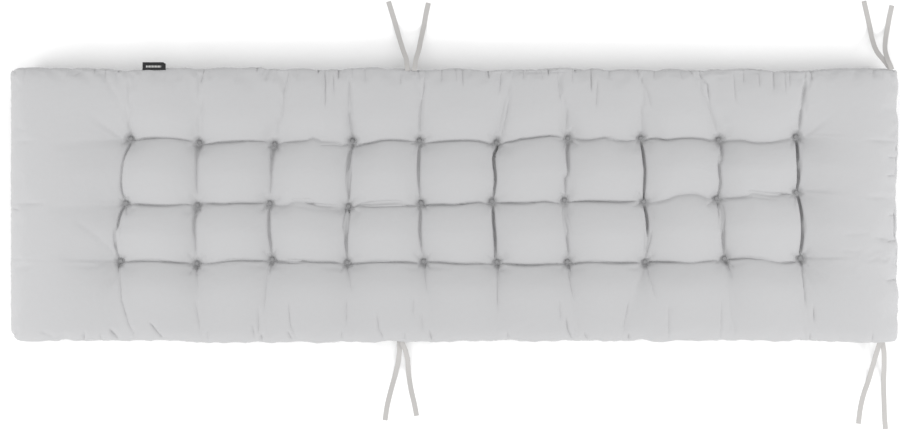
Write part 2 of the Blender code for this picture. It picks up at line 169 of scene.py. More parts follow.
# Creases between the tufts: each one's depth and breadth in millimetres, and its line in the
# photograph's pixels, with the share of its depth at each point.
Crease = namedtuple("Crease", "depth breadth points")
CREASES = (
    # Back row, from left to right
    Crease(4.1, 0.92, (
        (134, 140.4, 0.7), (145, 138.6, 1), (155, 137.9, 1), (164, 137.8, 0.6), (174, 138.2, 0.5),
        (183, 139.5, 0.4), (194, 141.5, 0.4))),
    Crease(4.6, 0.83, (
        (203, 144.2, 0.7), (211, 143.9, 0.8), (216, 143, 1), (226, 142.1, 1), (237, 141.6, 1),
        (247, 140.8, 0.7), (261, 141.1, 0.4), (271, 141.8, 0.3))),
    Crease(1.6, 1, (
        (277, 144.5, 0.6), (287, 142.1, 1), (297, 141.3, 1), (307, 140.7, 0.5), (312, 140.5, 0))),
    Crease(1.4, 2, ((310, 138.5, 0.2), (316, 137.5, 1), (332, 137.5, 1), (340, 139, 0.3))),
    Crease(1.6, 1, (
        (320, 145.6, 0.2), (323, 145.2, 0.9), (333, 144.8, 1), (343, 145.8, 0.9), (349, 144, 0.6))),
    Crease(4.1, 0.92, (
        (355, 146, 0.7), (363, 144.5, 0.9), (373, 142.7, 1), (382, 140.4, 1), (392, 139.9, 0.9),
        (401, 140.4, 0.8), (409, 141.1, 0.5), (416, 141.6, 0.3))),
    Crease(4.1, 0.92, (
        (424, 143, 0.4), (430, 142.7, 0.6), (439, 141.6, 0.9), (451, 140.8, 1), (460, 140.4, 1),
        (470, 140.4, 0.9), (479, 141.1, 0.9), (487, 143.3, 0.9), (493, 143.7, 0.9))),
    Crease(4.1, 0.83, (
        (500, 144.1, 0.8), (507, 142.2, 1), (514, 141.1, 1), (520, 139.2, 1), (530, 138.2, 1),
        (539, 136.8, 0.9), (550, 135.6, 0.8), (557, 136.3, 0.5), (564, 138, 0.3))),
    Crease(2, 1.6, (
        (571, 137.6, 0.7), (581, 139.8, 1), (591, 139.9, 0.9), (600, 138, 1), (611, 136.8, 0.8),
        (615, 136.6, 0))),
    Crease(1.6, 1, (
        (606, 139.8, 0.1), (612, 140.2, 0.9), (619, 140.9, 1), (629, 140.9, 0.8), (637, 139.5, 0.4))),
    Crease(3.8, 0.92, (
        (644, 140.1, 1), (649, 138.9, 1), (656, 138.3, 1), (665, 140.1, 0.9), (672, 139.2, 0.8),
        (680, 138.2, 0.9), (691, 138, 0.9), (702, 138.9, 0.8), (708, 140.5, 0.7), (714, 140.7, 0.5))),
    Crease(2.2, 2, (
        (722, 141.3, 1), (732, 140.1, 1), (743, 140.4, 0.8), (752, 142.5, 0.4), (770, 142, 0.2))),
    # Middle row, from left to right
    Crease(4.3, 0.92, (
        (129, 204.6, 0.8), (136, 204, 1), (143, 204.5, 1), (155, 205.2, 1), (166, 205.5, 0.9),
        (178, 204.9, 0.5), (183, 204.1, 0.4), (194, 204.7, 0.3))),
    Crease(4.3, 0.83, (
        (201, 203.7, 0.5), (210, 203.2, 0.7), (217, 203.8, 1), (226, 203.9, 1), (233, 203.3, 0.9),
        (240, 202.9, 0.9), (249, 203.2, 0.8), (264, 203, 0.6))),
    Crease(1.8, 0.92, ((292, 199, 0.4), (303, 198.6, 1), (313, 199.1, 0.5), (316, 199.3, 0))),
    Crease(3.5, 0.83, (
        (306, 203, 0.3), (309, 203.2, 1), (315, 203.6, 1), (323, 204.5, 1), (333, 205.2, 0.7),
        (343, 206, 0.3))),
    Crease(1.4, 3.5, (
        (275, 205, 0.5), (286, 205.5, 0.9), (297, 205.5, 0.9), (307, 207.5, 0.8), (320, 209.5, 1),
        (333, 210.2, 1), (343, 209.7, 0.8))),
    Crease(3.5, 0.92, (
        (352, 207.5, 0.9), (355, 206.4, 1), (361, 204.3, 1), (368, 202.8, 1), (378, 201.6, 0.9),
        (387, 200.9, 0.9), (398, 200.9, 0.7), (405, 201.5, 0.2))),
    Crease(3.3, 1, (
        (360, 206.3, 0.4), (363, 206.1, 0.8), (375, 206.7, 1), (386, 206.4, 1), (398, 206.1, 0.9),
        (408, 205.5, 0.8), (416, 205.7, 0.8))),
    Crease(4.8, 0.83, (
        (424, 205.2, 1), (433, 204.7, 1), (444, 204.5, 1), (453, 204.9, 0.9), (462, 204, 1),
        (468, 203, 1), (471, 202.8, 0.8), (478, 202, 0.6), (484, 202.8, 0.3), (489, 204, 0.4))),
    Crease(4.8, 0.83, (
        (496, 202.6, 0.2), (501, 202.8, 0.8), (511, 203, 1), (520, 203, 1), (530, 202.6, 1),
        (539, 201.6, 0.8), (546, 201.2, 0.7), (551, 202.1, 0.6), (560, 203.3, 0.3))),
    Crease(5.2, 0.83, (
        (568, 201.9, 0.5), (579, 201.2, 0.8), (588, 200.9, 1), (598, 201.2, 1), (607, 201.4, 1),
        (619, 201.9, 1), (629, 201.6, 0.6), (637, 200.5, 0.4))),
    Crease(1.6, 2.4, (
        (648, 202.8, 0.8), (660, 201.2, 0.5), (670, 198.4, 0.4), (674, 196.1, 0.4), (682, 194.6, 0.5),
        (689, 193.9, 0.5), (697, 194.4, 0.4), (704, 197.3, 0.4), (712, 199.1, 0.5))),
    Crease(2.2, 2, (
        (721, 198.2, 1), (731, 197.7, 1), (742, 196.7, 0.9), (751, 196.7, 0.6), (765, 198.5, 0.5),
        (778, 200, 0.3))),
    Crease(3.8, 0.83, (
        (746, 191.2, 0.2), (751, 191.3, 0.7), (757, 191.8, 0.9), (766, 193, 1), (776, 193.7, 1),
        (791, 193.9, 0.8))),
    # Front row, from left to right
    Crease(4.3, 0.83, (
        (124, 261.9, 0.6), (131, 261.3, 0.7), (140, 260.7, 1), (150, 260.6, 1), (159, 260.8, 1),
        (169, 261.6, 1), (178, 262.5, 0.8), (188, 263, 0.5), (193, 263.3, 0.4))),
    Crease(4.3, 0.83, (
        (201, 263.3, 0.4), (210, 263.3, 0.2), (217, 262.5, 0.3), (224, 261.3, 0.8), (232, 260.3, 1),
        (243, 260, 1), (255, 260.6, 0.8), (267, 260.6, 0.6))),
    Crease(4.6, 0.83, (
        (276, 260.6, 0.8), (283, 261.6, 1), (290, 262.5, 1), (297, 263, 0.6), (303, 262.7, 0.1))),
    Crease(4.3, 0.83, (
        (287, 259.3, 0.2), (297, 259.9, 0.9), (307, 261.1, 1), (318, 261.9, 1), (333, 262.1, 0.9),
        (342, 263.3, 0.5))),
    Crease(4.6, 0.83, (
        (351, 263.6, 1), (361, 263, 1), (368, 262.1, 1), (380, 261.6, 0.9), (392, 261.8, 0.9),
        (404, 261.8, 0.9), (410, 262.1, 0.8), (418, 263.2, 0.5))),
    Crease(4.3, 0.83, (
        (428, 261.8, 0.9), (441, 262, 0.9), (451, 263, 1), (462, 263.6, 1), (475, 263.3, 0.8),
        (487, 263.6, 0.7), (493, 263.7, 0.6))),
    Crease(4.3, 0.92, (
        (501, 263, 0.9), (513, 264.1, 1), (525, 264.9, 1), (537, 264.7, 0.9), (548, 263.9, 0.7),
        (563, 263.9, 0.6))),
    Crease(4.6, 0.83, (
        (571, 263.6, 0.9), (580, 262.5, 1), (588, 261.8, 0.9), (599, 261.8, 0.8), (610, 262.5, 1),
        (620, 262.7, 1), (631, 262.5, 0.9), (640, 262.5, 0.6))),
    Crease(4.6, 0.92, (
        (648, 261.8, 1), (656, 261.6, 1), (667, 261.7, 0.9), (678, 262.1, 0.5), (689, 262.7, 0.3),
        (698, 261.8, 0.3), (712, 260.6, 0.4), (720, 260.6, 0.4))),
    Crease(3.8, 0.92, (
        (728, 259.2, 1), (736, 258.7, 1), (743, 257.8, 0.9), (750, 258, 0.7), (757, 259, 0.4),
        (763, 259.5, 0))),
    Crease(3.5, 0.92, ((779, 262.6, 0.1), (783, 262.5, 0.9), (789, 262.3, 1), (796, 261.3, 0.8))),
    # Columns from the back row to the middle row, from left to right
    Crease(3.4, 1.2, (
        (130.5, 144, 1), (127.6, 150.7, 1), (125.2, 156.6, 0.8), (123.4, 164.9, 0.7),
        (122.5, 174.3, 0.5), (121.9, 182.6, 0.5), (122.2, 189.7, 0.7), (124, 197, 0.8))),
    Crease(6.4, 4.3, ((198.6, 146, 1), (197.4, 154, 0.6), (197, 160, 0.1))),
    Crease(6.7, 3.4, (
        (274, 148, 1), (272.6, 155, 0.8), (272, 163, 0.4), (271.5, 172, 0.2), (272, 180, 0))),
    Crease(8.8, 2.5, (
        (352.8, 144, 1), (350.1, 153.1, 1), (349.2, 160.2, 0.9), (348.6, 167.2, 0.6), (348, 172, 0.3))),
    Crease(4.1, 1.4, (
        (348.4, 165, 0.3), (347.6, 170, 1), (346.8, 176.7, 0.9), (346.6, 183.8, 0.6), (346.5, 190, 0))),
    Crease(5.1, 1.3, (
        (350.6, 166, 0.4), (350.8, 173.1, 0.9), (350.1, 181.4, 1), (349.2, 190.8, 0.9),
        (348.8, 200, 1))),
    Crease(6.4, 1.4, (
        (420, 145, 1), (419.1, 149.6, 1), (418.8, 160.2, 1), (418.4, 170.8, 0.9), (418.6, 180.2, 0.7),
        (419.2, 188, 0.2), (420, 197, 0.2))),
    Crease(14, 0.95, (
        (498, 143, 1), (496.5, 148.4, 1), (494.4, 153.1, 1), (493.6, 159, 1), (493.9, 164.9, 1),
        (495.1, 174.3, 0.9), (495.3, 181.4, 0.8), (494.4, 188.5, 0.7), (493, 198, 0.6))),
    Crease(7, 2.1, (
        (568, 142, 1), (566.9, 150.7, 0.9), (567.5, 159, 0.8), (568.1, 167.2, 0.6), (568.3, 176, 0.2))),
    Crease(1.8, 1.5, ((564.2, 172, 0.2), (564.4, 178, 1), (565, 184, 0.8), (565, 194, 0.2))),
    Crease(14, 0.95, (
        (641, 142, 1), (642.8, 153.1, 1), (643.7, 162.5, 0.9), (644.6, 170.8, 0.8),
        (644.2, 180.2, 0.8), (643.7, 193.2, 0.8), (643.6, 199, 0.8))),
    Crease(5.7, 1.9, ((720.3, 143, 1), (721.1, 148.4, 0.9), (721.7, 156, 0.5), (722, 163, 0.1))),
    Crease(4.2, 1.4, (
        (718.6, 154, 0.3), (718.2, 160, 0.9), (718.3, 166, 1), (718.9, 174, 0.9), (720, 182, 0.8),
        (718.9, 189.7, 0.9), (717.6, 196, 0.9))),
    Crease(14, 0.95, (
        (796.2, 141, 1), (796.6, 147, 1), (797, 155, 1), (797, 162.5, 1), (797.8, 172, 1),
        (797.8, 180.2, 0.9), (797, 188, 0.8))),
    # Columns from the middle row to the front row, from left to right
    Crease(5.4, 1.3, (
        (125.2, 206, 0.8), (122.2, 210.8, 1), (120.2, 216.7, 1), (118.9, 223.8, 0.8),
        (118.4, 229, 0.2))),
    Crease(4.1, 1.4, (
        (115.4, 228, 0.3), (114.9, 238, 1), (116, 245, 0.9), (117.9, 252.1, 0.5), (119.6, 258, 0.5))),
    Crease(1.8, 1.5, ((121.6, 220, 0.3), (121, 232, 1), (121.5, 246, 0.4))),
    Crease(6.1, 3.1, (
        (196.8, 209, 1), (196, 214.4, 0.9), (194.8, 221.4, 0.6), (194.8, 229.7, 0.5),
        (196.2, 239.1, 0.2))),
    Crease(5.1, 1.9, (
        (269.3, 208.5, 1), (269.1, 216.7, 0.9), (269.3, 226.2, 0.8), (269.7, 234.4, 0.9),
        (271.2, 242.7, 0.7), (271.6, 253, 0.4))),
    Crease(5.4, 1.4, (
        (346.4, 208, 0.7), (345.7, 212, 1), (344.5, 219.1, 0.9), (343.9, 227.3, 0.8),
        (344.3, 233, 0.1))),
    Crease(7.4, 1.7, (
        (349.2, 209, 1), (349.2, 216.7, 0.8), (348, 226.2, 0.7), (346.6, 234.4, 0.8),
        (346.2, 242.7, 0.7), (346.9, 252.1, 0.5), (347.2, 258, 0.4))),
    Crease(6.4, 1.6, (
        (420.4, 208, 1), (420.3, 216.7, 0.9), (419.7, 225, 0.8), (420, 233.2, 0.7),
        (420.7, 241.5, 0.4), (421.6, 248, 0.1))),
    Crease(14, 0.95, (
        (492.7, 206, 1), (493.2, 214.4, 1), (493.5, 222.6, 0.9), (494.4, 230.9, 0.9),
        (495, 239.1, 0.9), (495.3, 247.4, 0.7), (495.2, 258, 0.5))),
    Crease(3.3, 1.5, (
        (563, 206, 0.8), (562.6, 215.6, 1), (563.8, 222.6, 0.7), (565.2, 232.1, 0.7),
        (567.1, 241.5, 0.7), (568.2, 252, 0.5))),
    Crease(2.1, 1.7, ((565.4, 207, 0.6), (567.9, 219.1, 1), (570.2, 226.8, 0.8), (571, 234, 0.1))),
    Crease(14, 0.95, (
        (644.4, 206, 1), (646, 214.4, 1), (646.8, 222.6, 0.9), (647, 230.9, 0.6), (646.8, 236, 0))),
    Crease(3.2, 1.4, ((645, 229, 0.3), (644.8, 236, 1), (644.6, 244, 1), (644.4, 254, 0.9))),
    Crease(3.2, 1.5, (
        (651.4, 230, 0.3), (650.4, 236, 1), (648.8, 242.7, 1), (646.8, 249.8, 1), (645.4, 256, 1))),
    Crease(5.1, 1.6, (
        (717.4, 203, 1), (718.2, 209.7, 0.9), (718.8, 216.7, 0.8), (718.4, 226.2, 0.3),
        (718.4, 231, 0))),
    Crease(5.4, 1.9, (
        (721.5, 204, 0.6), (723.4, 212, 0.8), (723.6, 218, 0.9), (722.5, 228.5, 1), (722.4, 236.8, 1),
        (722.9, 246.2, 0.7), (723.8, 255, 0.5))),
    Crease(14, 0.95, (
        (797.6, 196, 1), (799.9, 207.3, 1), (801, 215.6, 1), (801.4, 223.8, 1), (801.7, 232.1, 1),
        (801.4, 240.3, 0.9), (800.7, 247.4, 0.9), (799.9, 254, 0.7))),
    # Dark ends below the tufts of the front row
    Crease(5.7, 2.1, ((119.6, 263, 1), (119.3, 268, 0.7), (119.4, 274, 0.1))),
    Crease(5.7, 2.5, ((197.3, 266, 1), (197.3, 271, 0.6), (197.4, 277, 0.1))),
    Crease(4.2, 2.2, ((271.8, 262, 1), (271, 268, 0.7), (270, 274, 0.1))),
    Crease(3.9, 2.2, ((347.2, 265, 1), (347.6, 271, 0.6), (348, 277, 0.1))),
    Crease(3.9, 2.2, ((424.6, 264, 1), (426, 270, 0.6), (427.2, 276, 0.1))),
    Crease(5.1, 2.5, ((498, 265, 1), (498.2, 271, 0.7), (498, 278, 0.1))),
    Crease(5.4, 2.5, ((568.5, 265, 1), (570, 271, 0.7), (571.4, 278, 0.1))),
    Crease(3.9, 2.2, ((645.8, 265, 1), (647.4, 271, 0.6), (649, 277, 0.1))),
    Crease(6.4, 2.5, ((725.4, 261, 1), (728, 266, 0.9), (729.8, 272, 0.6), (730.6, 278, 0.1))),
    Crease(5.7, 2.2, ((800.6, 261, 1), (801.6, 267, 0.7), (802, 274, 0.1))),
)

# Folds pressed into the upper cloth: each one's line in the photograph's pixels, its depth and
# breadth in millimetres, and its lean, from -1 to 1, which makes the side it leans from steep.
Fold = namedtuple("Fold", "depth breadth lean points")
FOLDS = (
    # Back margin, from left to right
    Fold(2.4, 3, 0, ((75, 77), (88, 69))),
    Fold(2.9, 2, 0.2, ((96, 67), (96, 74))),
    Fold(2.5, 2, 0, ((107, 67), (107, 79))),
    Fold(4.3, 2, 0.2, ((120, 66), (120, 73))),
    Fold(1.5, 2.2, 0.3, ((127, 105), (131, 138))),
    Fold(3.6, 2, 0.3, ((205, 67), (205, 71), (202, 84))),
    Fold(1.5, 2.2, 0, ((205, 95), (201, 140))),
    Fold(3.6, 1.7, 0, ((258, 66), (258, 72))),
    Fold(2.7, 2.2, 0.4, ((290, 68), (289, 76), (285, 92), (283, 120))),
    Fold(4.7, 1.7, 0, ((319, 66), (319, 74))),
    Fold(3.7, 2, 0.5, ((325, 67), (326, 85), (326, 108))),
    Fold(2.9, 2, -0.3, ((334, 72), (335, 96))),
    Fold(4.7, 1.7, 0, ((339, 66), (339, 80))),
    Fold(2.7, 2.2, 0.4, ((350, 74), (349, 115), (352, 138))),
    Fold(2.5, 2, 0, ((401, 70), (401, 86))),
    Fold(3.2, 2, 0, ((418, 68), (420, 80))),
    Fold(3.1, 2, 0.3, ((425, 67), (424, 90), (420, 112), (419, 139))),
    Fold(2.9, 2, 0, ((442, 68), (442, 82))),
    Fold(3.2, 2, 0.2, ((462, 67), (463, 87))),
    Fold(4.3, 1.7, 0, ((487, 67), (489, 79))),
    Fold(3.1, 2.2, 0.4, ((501, 70), (499, 95))),
    Fold(3.4, 2, 0.4, ((509, 100), (505, 120), (500, 139))),
    Fold(2.5, 2, 0, ((523, 68), (523, 80))),
    Fold(4.7, 1.7, 0, ((548, 66), (548, 76))),
    Fold(3.1, 2.2, 0.3, ((557, 70), (560, 102))),
    Fold(2.4, 2.2, 0.3, ((567, 106), (565, 137))),
    Fold(3.6, 2, 0, ((574, 66), (575, 74))),
    Fold(4.8, 2, 0.2, ((590, 66), (590.5, 92))),
    Fold(2.7, 2.2, 0.2, ((597, 76), (595, 112))),
    Fold(2.5, 2, 0, ((636, 67), (638, 80))),
    Fold(3.1, 2.2, 0.4, ((638, 70), (641, 82), (646, 92), (650, 108))),
    Fold(4.4, 2, 0.4, ((697, 68), (700, 79), (706, 85), (708, 104))),
    Fold(2.7, 2, 0.2, ((732, 72), (734, 104))),
    Fold(2.5, 2, 0, ((742, 68), (742, 84))),
    Fold(2.9, 2, 0.2, ((757, 69), (758, 88))),
    Fold(3.6, 2, 0.2, ((772, 67), (772, 92))),
    Fold(2.9, 2, 0.2, ((783, 70), (784, 94))),
    Fold(2.9, 2, 0.2, ((788, 68), (788, 88))),
    Fold(4.8, 2.2, 0.5, ((804, 70), (802, 92), (799, 112), (797, 137))),
    Fold(4.3, 2, 0, ((809, 67), (810, 82))),
    # Stitches of the back seam that show
    Fold(1.8, 1.2, 0, ((513, 72.8), (530, 73.2), (549, 72.9), (567, 72.6))),
    Fold(1.6, 1.2, 0, ((646, 71.4), (662, 70.8), (680, 71.4), (697, 72))),
    Fold(1.6, 1.2, 0, ((778, 72.6), (792, 72.2), (806, 72.6))),
    # Front margin, from left to right
    Fold(2.9, 2.5, 0, ((43, 331), (57, 338))),
    Fold(2.9, 2, 0, ((86, 332), (86, 340))),
    Fold(2.5, 2, 0, ((102, 333), (103, 340))),
    Fold(4.3, 2, 0.3, ((111, 328), (116, 334), (121, 340))),
    Fold(3.1, 2.2, 0.4, ((121, 270), (123, 300), (130, 322), (138, 339))),
    Fold(4.3, 2, 0.3, ((151, 321), (160, 333), (166, 340))),
    Fold(2.4, 2.2, 0.2, ((196, 298), (202, 330))),
    Fold(2.5, 2, 0, ((209, 330), (209, 339))),
    Fold(2.9, 2, 0.2, ((253, 324), (256, 338))),
    Fold(2.7, 2.2, 0.2, ((259, 306), (260, 336))),
    Fold(4.7, 1.7, 0, ((262, 334), (263, 340))),
    Fold(2.2, 2.2, 0.3, ((268, 268), (265, 312))),
    Fold(2.7, 2.2, 0.3, ((289, 300), (291, 324), (298, 340))),
    Fold(4, 2, 0, ((288, 330), (293, 340))),
    Fold(2.4, 2.2, 0.2, ((347, 298), (347, 325))),
    Fold(2.2, 2.2, 0.2, ((348, 264), (352, 292))),
    Fold(2.9, 2, 0, ((342, 331), (343, 340))),
    Fold(3.1, 2.2, 0.3, ((377, 312), (379, 328), (385, 340))),
    Fold(2.5, 2, 0, ((405, 332), (405, 340))),
    Fold(2.5, 2.5, 0.2, ((414, 296), (413, 315))),
    Fold(2.9, 2.5, 0.2, ((421, 311), (423, 330))),
    Fold(2.2, 2.2, 0.3, ((424, 263), (427, 292))),
    Fold(4.3, 2, 0.2, ((429, 330), (432, 340))),
    Fold(2.7, 2.2, 0.3, ((497, 265), (497, 312))),
    Fold(2.9, 2, 0, ((507, 332), (508, 340))),
    Fold(2.9, 2.5, 0.3, ((558, 298), (560, 320))),
    Fold(2.7, 2.2, 0.3, ((567, 264), (570, 285), (573, 300))),
    Fold(4.1, 2, 0.3, ((565, 315), (567, 330), (572, 340))),
    Fold(3.2, 2, 0, ((583, 332), (587, 340))),
    Fold(2.7, 2.2, 0.3, ((628, 298), (622, 330))),
    Fold(4, 2, 0, ((627, 333), (628, 340))),
    Fold(2.2, 2.2, 0.2, ((645, 263), (655, 300))),
    Fold(2.4, 2.2, 0.2, ((667, 303), (667, 340))),
    Fold(2.4, 2.2, 0.2, ((720, 300), (719, 340))),
    Fold(2.5, 2.5, 0.3, ((724, 262), (730, 278))),
    Fold(3.7, 2.2, 0.4, ((800, 260), (802, 285), (804, 309))),
    Fold(3.2, 2, 0.3, ((811, 305), (812, 322))),
    Fold(3.2, 2, 0, ((808, 333), (808, 340))),
    Fold(2.9, 2, 0, ((870, 334), (870, 340))),
    # Left margin
    Fold(2.4, 9, 0.2, ((55, 146), (92, 141), (126, 139))),
    Fold(2.4, 9, 0.2, ((50, 208), (90, 205), (122, 203))),
    Fold(2.4, 9, 0.2, ((60, 257), (118, 260))),
    Fold(1.8, 4.5, 0.4, ((75, 219), (98, 236), (117, 255))),
    Fold(2.5, 2, 0, ((12, 208), (21, 210))),
    # Right margin
    Fold(1.5, 3.6, 0.2, ((798, 190), (832, 189))),
    Fold(1.5, 3.6, 0.2, ((840, 235), (866, 233))),
    Fold(2.5, 2.5, 0.2, ((872, 237), (892, 240))),
    Fold(1.5, 3.6, 0.2, ((835, 250), (862, 252))),
    Fold(2.9, 2, 0, ((886, 157), (896, 158))),
    Fold(2.9, 2, 0, ((884, 176), (896, 175))),
    Fold(2.9, 2, 0, ((886, 215), (896, 215))),
    Fold(3.2, 2, 0, ((884, 241), (896, 240))),
    Fold(3.2, 2, 0, ((885, 280), (896, 279))),
    # Closing seam of the right end
    Fold(3.5, 1.2, 0, ((895.6, 144), (895.4, 152))),
    Fold(3.5, 1.2, 0, ((895.4, 155), (895.2, 163))),
    Fold(3.5, 1.2, 0, ((895, 166), (894.6, 176))),
    Fold(6, 1.3, 0, ((893.2, 205), (893.6, 222), (893.4, 240))),
    Fold(4, 1.2, 0, ((895.4, 247), (895.8, 256))),
    Fold(4, 1.2, 0, ((895.8, 259), (895.6, 268))),
)


class CushionSizes(bpy.types.PropertyGroup):
    """The form of the filled cover."""

    length: bpy.props.FloatProperty(
        name="Length", description="Length of the cushion along its widest line",
        default=1.800, unit="LENGTH")
    width: bpy.props.FloatProperty(
        name="Width", description="Width of the cushion along its widest line",
        default=0.554, unit="LENGTH")
    widest_level: bpy.props.FloatProperty(
        name="Widest level", description="Height at which the sides stand out furthest",
        default=0.036, unit="LENGTH")
    pit_level: bpy.props.FloatProperty(
        name="Pit level", description="Height of the upper cloth at the bottom of a tuft",
        default=0.040, unit="LENGTH")
    crease_rise: bpy.props.FloatProperty(
        name="Crease rise", description="How far a crease rises between two tufts",
        default=0.015, unit="LENGTH")
    pillow_rise: bpy.props.FloatProperty(
        name="Pillow rise", description="How far a pillow rises above its creases",
        default=0.019, unit="LENGTH")
    pucker_depth: bpy.props.FloatProperty(
        name="Pucker depth", description="Depth of the small puckers along the seam",
        default=0.0010, unit="LENGTH")
    gather_depth: bpy.props.FloatProperty(
        name="Gather depth", description="Depth of the folds that run out from each tuft",
        default=0.0022, unit="LENGTH")
    colour: bpy.props.FloatVectorProperty(
        name="Cover colour", description="Colour of the cover cloth",
        default=(0.318, 0.318, 0.323), subtype="COLOR", size=3)


class TrimSizes(bpy.types.PropertyGroup):
    """The knots, tapes and label."""

    tape_width: bpy.props.FloatProperty(
        name="Tape width", description="Width of a tie tape", default=0.010, unit="LENGTH")
    tape_thickness: bpy.props.FloatProperty(
        name="Tape thickness", description="Thickness of a tie tape", default=0.0012, unit="LENGTH")
    # The knots' colour is darker than the cover's: partly the knot thread's own darker tone, partly painted
    # shade of the pit each knot sits in
    knot_colour: bpy.props.FloatVectorProperty(
        name="Knot colour", description="Colour of the tuft knots",
        default=(0.175, 0.175, 0.178), subtype="COLOR", size=3)
    tape_colour: bpy.props.FloatVectorProperty(
        name="Tape colour", description="Colour of the tie tapes",
        default=(0.325, 0.317, 0.310), subtype="COLOR", size=3)
    label_colour: bpy.props.FloatVectorProperty(
        name="Label colour", description="Ground colour of the side label",
        default=(0.016, 0.016, 0.017), subtype="COLOR", size=3)
    motif_colour: bpy.props.FloatVectorProperty(
        name="Motif colour", description="Colour of the dashes woven into the label",
        default=(0.45, 0.45, 0.44), subtype="COLOR", size=3)


class StageSizes(bpy.types.PropertyGroup):
    """The floor, the lights and the camera."""

    floor_span: bpy.props.FloatProperty(
        name="Floor span", description="Side of the pale floor", default=60.0, unit="LENGTH")
    lens: bpy.props.FloatProperty(
        name="Lens", description="Focal length of the camera in millimetres", default=135.0)
    sky: bpy.props.FloatProperty(
        name="Sky", description="Strength of the even light from all round", default=1.22)
    key_power: bpy.props.FloatProperty(
        name="Key power", description="Watts of the light at the right", default=33.0)
    fill_power: bpy.props.FloatProperty(
        name="Fill power", description="Watts of the light at the left", default=23.0)
    front_power: bpy.props.FloatProperty(
        name="Front power", description="Watts of the light in front", default=43.0)
    back_power: bpy.props.FloatProperty(
        name="Back power", description="Watts of the light behind", default=6.5)


# The skin's lines across one cell and across each margin, each count even so that the filling and
# the under cloth can be worked out on every second line, and how they crowd towards the creases
CELL_LINES = 28
ROW_CELL_LINES = 20
LEFT_LINES = 66
RIGHT_LINES = 56
SIDE_LINES = 44
CROWDING = 0.55
MARGIN_CROWDING = 0.4
PROFILE_PARTS = 200
RIM_BLEND = 14

# The filling's rise beside a crease, and how it differs from pillow to pillow
SWELL_SPAN = 0.075
SWELL_ROUNDNESS = 2.1
SWELL_STEEPNESS = 0.90
HEM_DIP = 0.0015
MARGIN_RISE = 0.004
UNEVEN = 0.0015
UNEVEN_ALONG = 2.4
UNEVEN_ACROSS = 1.9
UNEVEN_FADE = 1.5

# How a crease runs out over the margins, and how round its bottom grows there
FOLD_AT_TUFTS = 0.85
FOLD_AT_SEAM = 0.12
FOLD_FADE = 1.4
END_FOLD_AT_SEAM = 0.0
END_FOLD_FADE = 2.4
SOFTENED = 0.020
END_SOFTENED = 0.080

# The seat of a tuft and the dimple below it
SEAT_RADIUS = 0.0062
SEAT_BLEND = 0.008
DIMPLE = 0.012
DIMPLE_RADIUS = 0.028

# The seam, and the cloth's length past the outline's, for its run over the shoulders
SEAM_DEPTH = 0.0009
SEAM_BREADTH = 0.0020
CLOTH_OVER = 0.075

# How finely and how far from the straight line a crease between two tufts is followed
COURSE_PARTS = 25
COURSE_REACH = 0.018
COURSE_ENDS = 0.12

# Pressed folds: the breadth left where one is shallow, the breadth past which its bottom is round,
# its steeper side's lean, its fade at the ends and its reach, counted in breadths
NARROWEST = 0.45
CRISP_BREADTH = 0.003
LEAN_SHARE = 0.6
TAPER_SPAN = 0.3
TAPER_START = 0.2
PRESS_REACH = 5
TUFT_CLEAR = (0.003, 0.004)
FLOOR_CLEAR = (0.002, 0.012)

# Puckers along the seam: where they start from a corner, and how much calmer the ends are
PUCKER_CORNER = 0.03
PUCKER_OVERRUN = 0.01
END_CALM = 0.75

# How often, how far from a fold and how finely the skin is split across it
SPLITS = 4
SPLIT_REACH = 3
SPLIT_SHARE = 0.6
SPLIT_SPREAD = 0.5
SPLIT_SLACK = 1.4
FINEST = 0.00065

TOP = 1
UNDER = -1

# The lines along one axis: each one's patch, its share of the way across it, its gap to the nearest
# crease, the lift over the shoulder, the share of the way from the tufts to the seam and the run
# along the cloth
Axis = namedtuple("Axis", "patch share gap lift reach run")


def smoothstep(value):
    """Ease from 0 to 1, and hold outside."""
    held = np.clip(value, 0.0, 1.0)
    return held * held * (3.0 - 2.0 * held)


def swell(distance):
    """How far the filling has risen at this distance from a crease, from 0 to 1."""
    share = np.clip(distance / SWELL_SPAN, 0.0, 1.0)
    return (1.0 - (1.0 - share) ** SWELL_ROUNDNESS) ** SWELL_STEEPNESS


def photo_point(pixel):
    """The plan point that a pixel of the photograph shows."""
    return np.array(((pixel[0] - PHOTO_ORIGIN[0]) * PHOTO_SCALE,
                     (PHOTO_ORIGIN[1] - pixel[1]) * PHOTO_SCALE))


def knots_plan(sizes):
    """The plan points where the columns' lines meet the rows', as an array of column, row, x and y."""
    side = sizes.width / 2 - HEM_DIP
    points = np.zeros((len(LINES), 5, 2))
    for column, line in enumerate(LINES):
        points[column, 0] = (line.front_hem * MM, -side)
        points[column, 4] = (line.back_hem * MM, side)
        for row, name in enumerate(ROW_NAMES, start=1):
            points[column, row] = (getattr(line, name + "_x") * MM, getattr(line, name + "_y") * MM)
    return points


def margin_profile(side, breadth, face):
    """Many points of one side's profile, from the seam inwards: insets and lifts."""
    shoulder = SHOULDERS[side]
    turn = np.linspace(0.0, 1.0, PROFILE_PARTS)
    share = turn ** 3
    over = shoulder.reach * share
    over_lift = (1 - (1 - share) ** shoulder.ease) ** (1 / shoulder.square)
    below = UNDER_REACH * (1 - np.cos(turn * math.pi / 2))
    below_lift = -np.sin(turn * math.pi / 2)
    inset = np.concatenate((below[:0:-1], over))
    lift = np.concatenate((below_lift[:0:-1], over_lift))
    seam = np.searchsorted(np.concatenate((-below[:0:-1], over)), SEAM_INSET[side])
    if face == TOP:
        inset = inset[seam:]
        lift = lift[seam:]
    else:
        inset = inset[seam::-1]
        lift = lift[seam::-1]
    return np.append(inset, breadth), np.append(lift, float(face))


